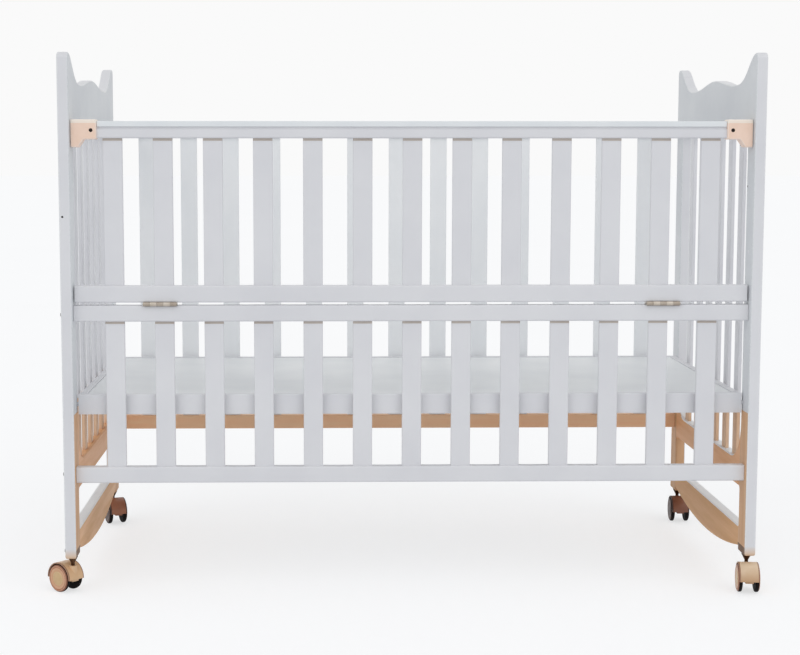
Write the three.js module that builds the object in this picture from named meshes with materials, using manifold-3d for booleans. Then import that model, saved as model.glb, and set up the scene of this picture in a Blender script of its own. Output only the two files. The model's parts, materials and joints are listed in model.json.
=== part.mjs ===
// A convertible crib: two shaped ends, a fixed back, a front whose upper half folds down,
// a bed base and four swivel casters. Millimetres, +Z up, the origin on the floor under
// the centre, the folding side towards -Y.
import * as THREE from "three";
import { mergeVertices } from "three/addons/utils/BufferGeometryUtils.js";
import Module from "manifold-3d";

const wasm = await Module();
wasm.setup();

// Overall sizes, over the posts
const CRIB_LENGTH = 1240;
const CRIB_DEPTH = 640;
const POST_TOP = 963;
const LEG_BOTTOM = 66;

// Clearances and cuts
const SEAT_GAP = 0.3; // between faces that are glued, screwed or resting
const PIN_GAP = 0.4; // round a pin in its hole
const OVERRUN = 5; // how far a cut runs past a face
const MERGE_DISTANCE = 0.0001;

// Steps of the round shapes
const CORNER_STEPS = 2;
const FILLET_STEPS = 6;
const PROFILE_STEPS = 36;
const ROCKER_STEPS = 12;
const PIN_SIDES = 16;
const WHEEL_SIDES = 20;

// Ends: posts, shaped board, bottom rail and rocker, all in one plane
const END_THICKNESS = 20;
const END_EDGE = 2.5; // eased edges
const POST_DEPTH = 50;
const FOOT_RADIUS = 4;
const HORN_RADIUS = 11;
const HORN_RISE_POWER = 1.6; // above 1 the curve stays low for longer and then rises steeply
const TROUGH_FROM_SIDE = 159; // from the outer face of the post to the lowest point of the top curve
const TROUGH_DROP = 50.5;
const CENTRE_DROP = 36;
const END_BOARD_HEIGHT = 137; // from the tips of the horns
const END_BOARD_RADIUS = 6;
const END_RAIL_TOP = 231;
const END_RAIL_BOTTOM = 184;
const END_RAIL_UPPER_FILLET = 72;
const END_RAIL_LOWER_FILLET = 6;
const ROCKER_TOP = 111;
const ROCKER_LOWEST = 48;
const ROCKER_RADIUS = 1360;

// Long rails
const RAIL_THICKNESS = 20;
const RAIL_SETBACK = 15; // behind the front face of the posts
const RAIL_EDGE = 3;
const FRONT_BOTTOM_RAIL_LOW = 201;
const FRONT_BOTTOM_RAIL_HEIGHT = 29;
const LOWER_TOP_RAIL_LOW = 491;
const LOWER_TOP_RAIL_HEIGHT = 29;
const HINGE_SLOT = 5; // between the lower panel and the gate
const GATE_BOTTOM_RAIL_HEIGHT = 30;
const GATE_TOP_RAIL_BELOW = 149; // from the tips of the horns to the bottom of the rail
const GATE_TOP_RAIL_HEIGHT = 26;
const GATE_SIDE_GAP = 3; // between the gate and each post
const BACK_BOTTOM_RAIL_LOW = 202;
const BACK_BOTTOM_RAIL_HEIGHT = 29;
const BACK_TOP_RAIL_BELOW = 142;
const BACK_TOP_RAIL_HEIGHT = 29;

// Cover strip on the gate's top rail
const NECK_LOW = 15.6; // above the bottom of the rail
const NECK_INSET = 2.5; // the rail is narrower here, which leaves a dark line under the strip
const COVER_TOP = 4; // above the rail
const COVER_LIP = 5.6; // below the top of the rail
const COVER_EDGE = 2;

// Slats
const SLAT_COUNT = 13;
const SLAT_FROM_POST = 72.6; // from the post to the middle of the first slat
const SLAT_WIDTH = 34.5;
const SLAT_THICKNESS = 9;
const SLAT_EDGE = 2;
const GROOVE_DEPTH = 10;
const END_SLAT_COUNT = 6;
const END_SLAT_FROM_POST = 70;
const END_SLAT_WIDTH = 28;
const END_SLAT_THICKNESS = 7.5;
const END_SLAT_EDGE = 1.5;
const END_GROOVE_PAST_SLAT = 2;
const END_GROOVE_DEPTH = 8;

// Bed base
const BASE_TOP = 358;
const BASE_HEIGHT = 36;
const BASE_END_GAP = 3;
const BASE_SIDE_GAP = 2; // between the base and the rails
const BASE_RIM = 22;
const BASE_REBATE = 8;
const BASE_PANEL_THICKNESS = 6.5;
const BASE_PANEL_DROP = 1.5; // the panel lies lower than the rim
const BASE_EDGE = 1.5;
const PEG_RADIUS = 4;
const PEG_REACH = 11; // into the post
const PEG_ROOT = 20; // inside the rim board
const PEG_FROM_RIM_FACE = 6.5;
const PEG_ABOVE_BOTTOM = 18;

// Hinges in the slot
const HINGE_LENGTH = 59;
const HINGE_FROM_POST = 153.5; // to the middle of the hinge
const HINGE_REACH = 3; // the pin lies this far in front of the rails
const KNUCKLE_RADIUS = 4;
const KNUCKLE_COUNT = 5;
const HINGE_PIN_RADIUS = 1.5;
const HINGE_PIN_PROUD = 1;
const LEAF_THICKNESS = 1.6;
const LEAF_DEPTH = 18; // behind the face of the rails
const LEAF_ROOT = 2.4; // from the pin's axis to the leaf's front edge

// Latch housings and bolts
const HOUSING_LENGTH = 46; // from the post
const HOUSING_POST_GAP = 0.6;
const HOUSING_ABOVE_RAIL = 7;
const HOUSING_BELOW_RAIL = 2;
const HOUSING_PROUD = 4;
const HOUSING_EDGE = 1.5;
const LOBE_LENGTH = 13; // from the post
const LOBE_SLOPE = 10;
const LOBE_DROP = 16; // below the rail
const BOLT_RADIUS = 3;
const BOLT_LENGTH = 14.4;
const BOLT_FROM_POST = 1;
const BOLT_BELOW_RAIL = 7.5;
const BOLT_TRAVEL = 8;
const TAB_WIDTH = 4;
const TAB_HEIGHT = 4;
const TAB_FROM_TAIL = 1;
const KNOB_WIDTH = 6;
const KNOB_HEIGHT = 10;
const KNOB_DEPTH = 5.4;
const KNOB_GAP = 0.6;

// Casters
const WHEEL_RADIUS = 25.3;
const WHEEL_INNER_FACE = 11.2; // from the caster's middle plane
const WHEEL_OUTER_FACE = 20;
const WHEEL_SHOULDER = 1.3;
const DISC_RIM_RADIUS = 22;
const DISC_DISH = 1.2;
const HUBCAP_RADIUS = 14;
const AXLE_RADIUS = 2.5;
const AXLE_HALF_LENGTH = 17.5;
const AXLE_END_GAP = 0.5;
const CASTER_TRAIL = 20; // from the stem to the axle
const HOOD_INNER_RADIUS = 26.8;
const HOOD_OUTER_RADIUS = 29;
const HOOD_HALF_WIDTH = 18;
const HOOD_LIP = 24; // above the floor
const WEB_HALF_WIDTH = 7.2;
const WEB_BOTTOM = 20.5;
const BOSS_RADIUS = 7.2;
const BOSS_TOP = 49;
const STEM_RADIUS = 3.5;
const STEM_CONE_RADIUS = 9.2;
const STEM_CONE_LOW = 55;
const STEM_BELOW_CONE = 14;
const STEM_IN_LEG = 30;
const STEM_TOP_GAP = 0.6;
const CASTER_TURNS = { front_left: 50, front_right: 174, back_left: 202, back_right: 178 };

// Derived places
const halfLength = CRIB_LENGTH / 2;
const halfDepth = CRIB_DEPTH / 2;
const postInnerX = halfLength - END_THICKNESS;
const postInnerY = halfDepth - POST_DEPTH;
const endMiddleX = halfLength - END_THICKNESS / 2;
const stemY = halfDepth - POST_DEPTH / 2;
const railY = halfDepth - RAIL_SETBACK - RAIL_THICKNESS / 2;
const gateHalfLength = postInnerX - GATE_SIDE_GAP;
const panelHalfLength = postInnerX - SEAT_GAP;
const troughReach = halfDepth - TROUGH_FROM_SIDE;
const endBoardBottom = POST_TOP - END_BOARD_HEIGHT;
const slatPitch = (2 * (postInnerX - SLAT_FROM_POST)) / (SLAT_COUNT - 1);
const endSlatPitch = (2 * (postInnerY - END_SLAT_FROM_POST)) / (END_SLAT_COUNT - 1);
const endGrooveReach = postInnerY - END_SLAT_FROM_POST + END_SLAT_WIDTH / 2 + END_GROOVE_PAST_SLAT;
const lowerTopRailTop = LOWER_TOP_RAIL_LOW + LOWER_TOP_RAIL_HEIGHT;
const gateBottomRailLow = lowerTopRailTop + HINGE_SLOT;
const gateTopRailLow = POST_TOP - GATE_TOP_RAIL_BELOW;
const gateTopRailTop = gateTopRailLow + GATE_TOP_RAIL_HEIGHT;
const backTopRailLow = POST_TOP - BACK_TOP_RAIL_BELOW;
const hingeY = -railY - RAIL_THICKNESS / 2 - HINGE_REACH;
const hingeZ = lowerTopRailTop + HINGE_SLOT / 2;
const hingeFromCentre = postInnerX - HINGE_FROM_POST;
const boltZ = gateTopRailLow - BOLT_BELOW_RAIL;
const axleZ = WHEEL_RADIUS * Math.cos(Math.PI / WHEEL_SIDES);
const baseHalfDepth = railY - RAIL_THICKNESS / 2 - BASE_SIDE_GAP;
const pegY = baseHalfDepth - PEG_FROM_RIM_FACE;
const pegZ = BASE_TOP - BASE_HEIGHT + PEG_ABOVE_BOTTOM;

// Finishes
const finish = (color, roughness, metalness = 0) =>
  new THREE.MeshStandardMaterial({ color, roughness, metalness, flatShading: true });
const WHITE_PAINT = finish(0xe6e9ec, 0.45);
const NATURAL_WOOD = finish(0xc79b74, 0.6);
const COVER_PLASTIC = finish(0xe9ecef, 0.3);
const PEACH_PLASTIC = finish(0xf0d3b8, 0.4);
const BEIGE_PLASTIC = finish(0xd9bd9c, 0.4);
const BLACK_RUBBER = finish(0x191716, 0.7);
const BRASS = finish(0xb49a6c, 0.35, 0.9);
const DARK_STEEL = finish(0x3a3a3c, 0.4, 0.9);

const crib = new THREE.Group();

// Solids

function solidFrom(geometry) {
  const bare = geometry.clone();
  bare.deleteAttribute("normal");
  bare.deleteAttribute("uv");
  const merged = mergeVertices(bare, MERGE_DISTANCE);
  return new wasm.Manifold(
    new wasm.Mesh({
      numProp: 3,
      vertProperties: merged.attributes.position.array,
      triVerts: new Uint32Array(merged.index.array),
    }),
  );
}

function geometryFrom(solid) {
  const mesh = solid.getMesh();
  const geometry = new THREE.BufferGeometry();
  geometry.setAttribute("position", new THREE.BufferAttribute(mesh.vertProperties, 3));
  geometry.setIndex(new THREE.BufferAttribute(mesh.triVerts, 1));
  geometry.computeVertexNormals();
  return geometry;
}

const join = (solids) => solids.reduce((whole, piece) => whole.add(piece));
const cut = (solid, tools) => tools.reduce((rest, tool) => rest.subtract(tool), solid);

// A block between two corners
function block([x0, x1], [y0, y1], [z0, z1]) {
  const geometry = new THREE.BoxGeometry(x1 - x0, y1 - y0, z1 - z0);
  geometry.translate((x0 + x1) / 2, (y0 + y1) / 2, (z0 + z1) / 2);
  return solidFrom(geometry);
}

// A round bar along X
function rod(radius, [x0, x1], y, z) {
  const geometry = new THREE.CylinderGeometry(radius, radius, x1 - x0, PIN_SIDES);
  geometry.rotateZ(Math.PI / 2);
  geometry.translate((x0 + x1) / 2, y, z);
  return solidFrom(geometry);
}

// A round bar along Z
function post(radius, x, y, [z0, z1]) {
  const geometry = new THREE.CylinderGeometry(radius, radius, z1 - z0, PIN_SIDES);
  geometry.rotateX(Math.PI / 2);
  geometry.translate(x, y, (z0 + z1) / 2);
  return solidFrom(geometry);
}

// An outline drawn in the plane square to an axis, run along that axis from one place to another.
// Along x it is drawn in Y and Z, along y in X and Z, and along z in X and Y.
function extrude(shape, axis, [from, to], edge = 0, curveSegments = CORNER_STEPS) {
  const geometry = new THREE.ExtrudeGeometry(shape, {
    depth: to - from - 2 * edge,
    curveSegments,
    bevelEnabled: edge > 0,
    bevelThickness: edge,
    bevelSize: edge,
    bevelOffset: -edge,
    bevelSegments: 1,
  });
  const x = new THREE.Vector3(1, 0, 0);
  const y = new THREE.Vector3(0, 1, 0);
  const z = new THREE.Vector3(0, 0, 1);
  const bases = { x: [y, z, x], y: [x, z, y.clone().negate()], z: [x, y, z] };
  geometry.translate(0, 0, (axis === "y" ? -to : from) + edge);
  geometry.applyMatrix4(new THREE.Matrix4().makeBasis(...bases[axis]));
  return solidFrom(geometry);
}

// A turned solid on the Z axis: points are radius and height, anticlockwise from the bottom
function turned(points, sides) {
  const profile = points.map(([radius, height]) => new THREE.Vector2(radius, height));
  const geometry = new THREE.LatheGeometry(profile, sides);
  geometry.rotateX(Math.PI / 2);
  return solidFrom(geometry);
}

// A rectangle with rounded corners, from its lower left corner
function roundedRectangle(x, y, width, height, radius) {
  const shape = new THREE.Shape();
  shape.moveTo(x + radius, y);
  shape.absarc(x + width - radius, y + radius, radius, -Math.PI / 2, 0);
  shape.absarc(x + width - radius, y + height - radius, radius, 0, Math.PI / 2);
  shape.absarc(x + radius, y + height - radius, radius, Math.PI / 2, Math.PI);
  shape.absarc(x + radius, y + radius, radius, Math.PI, 1.5 * Math.PI);
  return shape;
}

// A rectangle with cut corners, about the middle
function easedRectangle(width, depth, edge) {
  const x = width / 2;
  const y = depth / 2;
  return new THREE.Shape(
    [
      [x - edge, -y],
      [x, edge - y],
      [x, y - edge],
      [x - edge, y],
      [edge - x, y],
      [-x, y - edge],
      [-x, edge - y],
      [edge - x, -y],
    ].map(([u, v]) => new THREE.Vector2(u, v)),
  );
}

function add(name, solid, material, mirrorX = 1, mirrorY = 1, group = crib) {
  const mesh = new THREE.Mesh(geometryFrom(solid), material);
  mesh.name = name;
  mesh.scale.set(mirrorX, mirrorY, 1);
  group.add(mesh);
}

const SIDES = [
  ["left", -1],
  ["right", 1],
];
const WHEELS = [
  ["a", -1],
  ["b", 1],
];
const DEPTHS = [
  ["front", -1],
  ["back", 1],
];

// Ends

// How far the top of an end lies below the horns, at a place across the crib
function topDrop(y) {
  const reach = Math.abs(y);
  if (reach < troughReach) {
    const middle = (TROUGH_DROP + CENTRE_DROP) / 2;
    return middle - (TROUGH_DROP - CENTRE_DROP) / 2 * Math.cos((Math.PI * reach) / troughReach);
  }
  const rise = (reach - troughReach) / (halfDepth - HORN_RADIUS - troughReach);
  return (TROUGH_DROP / 2) * (1 + Math.cos(Math.PI * rise ** HORN_RISE_POWER));
}

// The outline of an end in Y and Z, with the opening for the slats and the one above the rocker
function endOutline() {
  const quarter = Math.PI / 2;
  const crest = halfDepth - HORN_RADIUS;
  const hornZ = POST_TOP - HORN_RADIUS;
  const footZ = LEG_BOTTOM + FOOT_RADIUS;
  const footInner = postInnerY + FOOT_RADIUS;
  const footOuter = halfDepth - FOOT_RADIUS;
  const arcHalf = Math.asin(postInnerY / ROCKER_RADIUS);
  const arcCentre = ROCKER_LOWEST + ROCKER_RADIUS;
  const shape = new THREE.Shape();
  shape.moveTo(-footOuter, LEG_BOTTOM);
  shape.absarc(-footInner, footZ, FOOT_RADIUS, -quarter, 0);
  for (let i = 0; i <= ROCKER_STEPS; i += 1) {
    const angle = arcHalf * ((2 * i) / ROCKER_STEPS - 1);
    shape.lineTo(ROCKER_RADIUS * Math.sin(angle), arcCentre - ROCKER_RADIUS * Math.cos(angle));
  }
  shape.absarc(footInner, footZ, FOOT_RADIUS, Math.PI, 3 * quarter);
  shape.absarc(footOuter, footZ, FOOT_RADIUS, -quarter, 0);
  for (let i = 0; i <= FILLET_STEPS; i += 1) {
    const angle = (quarter * i) / FILLET_STEPS;
    shape.lineTo(crest + HORN_RADIUS * Math.cos(angle), hornZ + HORN_RADIUS * Math.sin(angle));
  }
  for (let i = 1; i < PROFILE_STEPS; i += 1) {
    const y = crest * (1 - (2 * i) / PROFILE_STEPS);
    shape.lineTo(y, POST_TOP - topDrop(y));
  }
  for (let i = 0; i <= FILLET_STEPS; i += 1) {
    const angle = quarter * (1 + i / FILLET_STEPS);
    shape.lineTo(HORN_RADIUS * Math.cos(angle) - crest, hornZ + HORN_RADIUS * Math.sin(angle));
  }
  shape.absarc(-footOuter, footZ, FOOT_RADIUS, Math.PI, 3 * quarter);

  const openings = [
    [END_RAIL_TOP, endBoardBottom, END_RAIL_UPPER_FILLET, END_BOARD_RADIUS],
    [ROCKER_TOP, END_RAIL_BOTTOM, FOOT_RADIUS, END_RAIL_LOWER_FILLET],
  ];
  for (const [low, high, lowRadius, highRadius] of openings) {
    const opening = new THREE.Path();
    opening.moveTo(lowRadius - postInnerY, low);
    opening.absarc(postInnerY - lowRadius, low + lowRadius, lowRadius, -quarter, 0);
    opening.absarc(postInnerY - highRadius, high - highRadius, highRadius, 0, quarter);
    opening.absarc(highRadius - postInnerY, high - highRadius, highRadius, quarter, Math.PI);
    opening.absarc(lowRadius - postInnerY, low + lowRadius, lowRadius, Math.PI, 3 * quarter);
    shape.holes.push(opening);
  }
  return shape;
}

// The right end, cut into its boards
function makeEnds() {
  const whole = extrude(endOutline(), "x", [postInnerX, halfLength], END_EDGE, FILLET_STEPS);
  const acrossX = [postInnerX - OVERRUN, halfLength + OVERRUN];
  const between = [SEAT_GAP - postInnerY, postInnerY - SEAT_GAP];
  const slatX = [
    endMiddleX - END_SLAT_THICKNESS / 2 - SEAT_GAP,
    endMiddleX + END_SLAT_THICKNESS / 2 + SEAT_GAP,
  ];
  const grooveY = [-endGrooveReach, endGrooveReach];

  const leg = whole.intersect(
    block(acrossX, [postInnerY, halfDepth + OVERRUN], [LEG_BOTTOM - OVERRUN, POST_TOP + OVERRUN]),
  );
  const stemHole = post(STEM_RADIUS + PIN_GAP, endMiddleX, stemY, [
    LEG_BOTTOM - OVERRUN,
    LEG_BOTTOM + STEM_IN_LEG + STEM_TOP_GAP,
  ]);
  const pegHole = rod(
    PEG_RADIUS + PIN_GAP,
    [postInnerX - OVERRUN, postInnerX + PEG_REACH + SEAT_GAP],
    pegY,
    pegZ,
  );
  const latchHole = rod(
    BOLT_RADIUS + PIN_GAP,
    [postInnerX - OVERRUN, postInnerX + BOLT_TRAVEL + SEAT_GAP],
    railY,
    boltZ,
  );
  const backPost = cut(leg, [stemHole, pegHole]);
  const frontPost = cut(backPost, [latchHole]);
  for (const [side, mirrorX] of SIDES) {
    add(`post_front_${side}`, frontPost, WHITE_PAINT, mirrorX, -1);
    add(`post_back_${side}`, backPost, WHITE_PAINT, mirrorX, 1);
  }

  const board = cut(
    whole.intersect(block(acrossX, between, [endBoardBottom - OVERRUN, POST_TOP + OVERRUN])),
    [block(slatX, grooveY, [endBoardBottom - OVERRUN, endBoardBottom + END_GROOVE_DEPTH])],
  );
  const rail = cut(
    whole.intersect(
      block(acrossX, between, [
        END_RAIL_BOTTOM - OVERRUN,
        END_RAIL_TOP + END_RAIL_UPPER_FILLET + OVERRUN,
      ]),
    ),
    [block(slatX, grooveY, [END_RAIL_TOP - END_GROOVE_DEPTH, END_RAIL_TOP + END_RAIL_UPPER_FILLET])],
  );
  const rocker = whole.intersect(
    block(acrossX, between, [ROCKER_LOWEST - OVERRUN, (ROCKER_TOP + END_RAIL_BOTTOM) / 2]),
  );
  const slats = endSlats();
  for (const [side, mirrorX] of SIDES) {
    add(`end_board_${side}`, board, WHITE_PAINT, mirrorX);
    add(`end_bottom_rail_${side}`, rail, NATURAL_WOOD, mirrorX);
    add(`rocker_${side}`, rocker, NATURAL_WOOD, mirrorX);
    add(`end_slats_${side}`, slats, WHITE_PAINT, mirrorX);
  }
}

// Six slats with the two strips that fill the grooves
function endSlats() {
  const low = END_RAIL_TOP - END_GROOVE_DEPTH + SEAT_GAP;
  const high = endBoardBottom + END_GROOVE_DEPTH - SEAT_GAP;
  const stripX = [endMiddleX - END_SLAT_THICKNESS / 2, endMiddleX + END_SLAT_THICKNESS / 2];
  const stripY = [SEAT_GAP - endGrooveReach, endGrooveReach - SEAT_GAP];
  const pieces = [
    block(stripX, stripY, [low, END_RAIL_TOP]),
    block(stripX, stripY, [endBoardBottom, high]),
  ];
  for (let i = 0; i < END_SLAT_COUNT; i += 1) {
    const y = (i - (END_SLAT_COUNT - 1) / 2) * endSlatPitch;
    const section = easedRectangle(END_SLAT_THICKNESS, END_SLAT_WIDTH, END_SLAT_EDGE);
    pieces.push(extrude(section, "z", [low, high]).translate([endMiddleX, y, 0]));
  }
  return join(pieces);
}

// Long rails and their slats

// A rail's section in Y and Z, with the groove for the slats in its top or its bottom
function railSection(y, low, height, grooveOnTop) {
  const left = y - RAIL_THICKNESS / 2;
  const right = y + RAIL_THICKNESS / 2;
  const high = low + height;
  const grooveLeft = y - SLAT_THICKNESS / 2 - SEAT_GAP;
  const grooveRight = y + SLAT_THICKNESS / 2 + SEAT_GAP;
  const quarter = Math.PI / 2;
  const shape = new THREE.Shape();
  shape.moveTo(left + RAIL_EDGE, low);
  if (!grooveOnTop) {
    shape.lineTo(grooveLeft, low);
    shape.lineTo(grooveLeft, low + GROOVE_DEPTH);
    shape.lineTo(grooveRight, low + GROOVE_DEPTH);
    shape.lineTo(grooveRight, low);
  }
  shape.absarc(right - RAIL_EDGE, low + RAIL_EDGE, RAIL_EDGE, -quarter, 0);
  shape.absarc(right - RAIL_EDGE, high - RAIL_EDGE, RAIL_EDGE, 0, quarter);
  if (grooveOnTop) {
    shape.lineTo(grooveRight, high);
    shape.lineTo(grooveRight, high - GROOVE_DEPTH);
    shape.lineTo(grooveLeft, high - GROOVE_DEPTH);
    shape.lineTo(grooveLeft, high);
  }
  shape.absarc(left + RAIL_EDGE, high - RAIL_EDGE, RAIL_EDGE, quarter, Math.PI);
  shape.absarc(left + RAIL_EDGE, low + RAIL_EDGE, RAIL_EDGE, Math.PI, 3 * quarter);
  return shape;
}

// Thirteen slats with the two strips that fill the grooves of the rails below and above
function slatRow(y, railTop, railBottom, halfRun) {
  const low = railTop - GROOVE_DEPTH + SEAT_GAP;
  const high = railBottom + GROOVE_DEPTH - SEAT_GAP;
  const stripX = [SEAT_GAP - halfRun, halfRun - SEAT_GAP];
  const stripY = [y - SLAT_THICKNESS / 2, y + SLAT_THICKNESS / 2];
  const pieces = [block(stripX, stripY, [low, railTop]), block(stripX, stripY, [railBottom, high])];
  for (let i = 0; i < SLAT_COUNT; i += 1) {
    const x = (i - (SLAT_COUNT - 1) / 2) * slatPitch;
    const section = easedRectangle(SLAT_WIDTH, SLAT_THICKNESS, SLAT_EDGE);
    pieces.push(extrude(section, "z", [low, high]).translate([x, y, 0]));
  }
  return join(pieces);
}

function makeFixedPanels() {
  const run = [-panelHalfLength, panelHalfLength];
  const frontBottomTop = FRONT_BOTTOM_RAIL_LOW + FRONT_BOTTOM_RAIL_HEIGHT;
  const backBottomTop = BACK_BOTTOM_RAIL_LOW + BACK_BOTTOM_RAIL_HEIGHT;
  const rails = [
    ["lower_bottom_rail", -railY, FRONT_BOTTOM_RAIL_LOW, FRONT_BOTTOM_RAIL_HEIGHT, true, WHITE_PAINT],
    ["lower_top_rail", -railY, LOWER_TOP_RAIL_LOW, LOWER_TOP_RAIL_HEIGHT, false, WHITE_PAINT],
    ["back_bottom_rail", railY, BACK_BOTTOM_RAIL_LOW, BACK_BOTTOM_RAIL_HEIGHT, true, NATURAL_WOOD],
    ["back_top_rail", railY, backTopRailLow, BACK_TOP_RAIL_HEIGHT, false, WHITE_PAINT],
  ];
  for (const [name, y, low, height, grooveOnTop, material] of rails) {
    add(name, extrude(railSection(y, low, height, grooveOnTop), "x", run), material);
  }
  add(
    "lower_slats",
    slatRow(-railY, frontBottomTop, LOWER_TOP_RAIL_LOW, panelHalfLength),
    WHITE_PAINT,
  );
  add("back_slats", slatRow(railY, backBottomTop, backTopRailLow, panelHalfLength), WHITE_PAINT);
}

// The folding gate

function makeGate() {
  const run = [-gateHalfLength, gateHalfLength];
  const bottomTop = gateBottomRailLow + GATE_BOTTOM_RAIL_HEIGHT;
  const bottomSection = railSection(-railY, gateBottomRailLow, GATE_BOTTOM_RAIL_HEIGHT, true);
  add("gate_bottom_rail", extrude(bottomSection, "x", run), WHITE_PAINT);
  add("gate_slats", slatRow(-railY, bottomTop, gateTopRailLow, gateHalfLength), WHITE_PAINT);

  const topSection = railSection(-railY, gateTopRailLow, GATE_TOP_RAIL_HEIGHT, false);
  const front = -railY - RAIL_THICKNESS / 2;
  const back = RAIL_THICKNESS / 2 - railY;
  const overRun = [-gateHalfLength - OVERRUN, gateHalfLength + OVERRUN];
  const neckZ = [gateTopRailLow + NECK_LOW, gateTopRailTop + OVERRUN];
  const topRail = cut(extrude(topSection, "x", run), [
    block(overRun, [front - OVERRUN, front + NECK_INSET], neckZ),
    block(overRun, [back - NECK_INSET, back + OVERRUN], neckZ),
  ]);
  add("gate_top_rail", topRail, WHITE_PAINT);

  const coverHalf = postInnerX - HOUSING_LENGTH - SEAT_GAP;
  const coverLow = gateTopRailTop - COVER_LIP;
  const coverHeight = COVER_LIP + COVER_TOP;
  const coverSection = roundedRectangle(front, coverLow, RAIL_THICKNESS, coverHeight, COVER_EDGE);
  const cover = cut(extrude(coverSection, "x", [-coverHalf, coverHalf]), [
    block(
      [-coverHalf - OVERRUN, coverHalf + OVERRUN],
      [front + NECK_INSET - SEAT_GAP, back - NECK_INSET + SEAT_GAP],
      [coverLow - OVERRUN, gateTopRailTop + SEAT_GAP],
    ),
  ]);
  add("gate_rail_cover", cover, COVER_PLASTIC);
}

// The outline of a latch housing in X and Z, with its lobe beside the post
function housingOutline() {
  const low = gateTopRailLow - HOUSING_BELOW_RAIL;
  return new THREE.Shape(
    [
      [postInnerX - HOUSING_LENGTH, low],
      [postInnerX - LOBE_LENGTH - LOBE_SLOPE, low],
      [postInnerX - LOBE_LENGTH, gateTopRailLow - LOBE_DROP],
      [postInnerX - HOUSING_POST_GAP, gateTopRailLow - LOBE_DROP],
      [postInnerX - HOUSING_POST_GAP, gateTopRailTop + HOUSING_ABOVE_RAIL],
      [postInnerX - HOUSING_LENGTH, gateTopRailTop + HOUSING_ABOVE_RAIL],
    ].map(([u, v]) => new THREE.Vector2(u, v)),
  );
}

function makeLatches() {
  const front = -railY - RAIL_THICKNESS / 2;
  const back = RAIL_THICKNESS / 2 - railY;
  const housingBack = back + HOUSING_PROUD;
  const boltX = [postInnerX - BOLT_FROM_POST - BOLT_LENGTH, postInnerX - BOLT_FROM_POST];
  const tabX = [boltX[0] + TAB_FROM_TAIL, boltX[0] + TAB_FROM_TAIL + TAB_WIDTH];
  const tabZ = [boltZ - TAB_HEIGHT / 2, boltZ + TAB_HEIGHT / 2];
  const knobX = [(tabX[0] + tabX[1] - KNOB_WIDTH) / 2, (tabX[0] + tabX[1] + KNOB_WIDTH) / 2];
  const knobY = [housingBack + KNOB_GAP, housingBack + KNOB_GAP + KNOB_DEPTH];
  const knobZ = [boltZ - KNOB_HEIGHT / 2, boltZ + KNOB_HEIGHT / 2];

  const shell = extrude(
    housingOutline(),
    "y",
    [front - HOUSING_PROUD, housingBack],
    HOUSING_EDGE,
  );
  const housing = cut(shell, [
    block(
      [postInnerX - HOUSING_LENGTH - OVERRUN, gateHalfLength + SEAT_GAP],
      [front - SEAT_GAP, back + SEAT_GAP],
      [gateTopRailLow - SEAT_GAP, gateTopRailTop + SEAT_GAP],
    ),
    rod(BOLT_RADIUS + PIN_GAP, [boltX[0] - SEAT_GAP, postInnerX + OVERRUN], -railY, boltZ),
    block(
      [tabX[0] - SEAT_GAP, tabX[1] + BOLT_TRAVEL + SEAT_GAP],
      [-railY, housingBack + OVERRUN],
      [tabZ[0] - SEAT_GAP, tabZ[1] + SEAT_GAP],
    ),
  ]);
  const bolt = join([
    rod(BOLT_RADIUS, boltX, -railY, boltZ),
    block(tabX, [-railY, knobY[1]], tabZ),
    block(knobX, knobY, knobZ),
  ]);
  for (const [side, mirrorX] of SIDES) {
    add(`latch_housing_${side}`, housing, PEACH_PLASTIC, mirrorX);
    add(`latch_bolt_${side}`, bolt, DARK_STEEL, mirrorX);
  }
}

// Hinges

// One leaf: its plate, its knuckles and the room for the other leaf's knuckles
function hingeLeaf(isUpper) {
  const start = hingeFromCentre - HINGE_LENGTH / 2;
  const step = HINGE_LENGTH / KNUCKLE_COUNT;
  const inner = HINGE_SLOT / 2 - SEAT_GAP - LEAF_THICKNESS;
  const outer = HINGE_SLOT / 2 - SEAT_GAP;
  const plateZ = isUpper ? [hingeZ + inner, hingeZ + outer] : [hingeZ - outer, hingeZ - inner];
  const plateY = [hingeY + LEAF_ROOT, hingeY + HINGE_REACH + LEAF_DEPTH];
  const pieces = [block([start, start + HINGE_LENGTH], plateY, plateZ)];
  const rooms = [];
  for (let i = 0; i < KNUCKLE_COUNT; i += 1) {
    const low = start + i * step;
    const isOwn = (i % 2 === 1) === isUpper;
    const first = i === 0 ? -OVERRUN : -SEAT_GAP / 2;
    const last = i === KNUCKLE_COUNT - 1 ? OVERRUN : SEAT_GAP / 2;
    if (isOwn) {
      const from = i === 0 ? low : low + SEAT_GAP / 2;
      const to = i === KNUCKLE_COUNT - 1 ? low + step : low + step - SEAT_GAP / 2;
      pieces.push(rod(KNUCKLE_RADIUS, [from, to], hingeY, hingeZ));
    } else {
      rooms.push(rod(KNUCKLE_RADIUS + PIN_GAP, [low + first, low + step + last], hingeY, hingeZ));
    }
  }
  const bore = [start - OVERRUN, start + HINGE_LENGTH + OVERRUN];
  rooms.push(rod(HINGE_PIN_RADIUS + PIN_GAP, bore, hingeY, hingeZ));
  return cut(join(pieces), rooms);
}

function makeHinges() {
  const lower = hingeLeaf(false);
  const upper = hingeLeaf(true);
  const half = HINGE_LENGTH / 2 + HINGE_PIN_PROUD;
  const pinX = [hingeFromCentre - half, hingeFromCentre + half];
  const pin = rod(HINGE_PIN_RADIUS, pinX, hingeY, hingeZ);
  for (const [side, mirrorX] of SIDES) {
    add(`hinge_lower_leaf_${side}`, lower, BRASS, mirrorX);
    add(`hinge_upper_leaf_${side}`, upper, BRASS, mirrorX);
    add(`hinge_pin_${side}`, pin, BRASS, mirrorX);
  }
}

// Bed base

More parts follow.
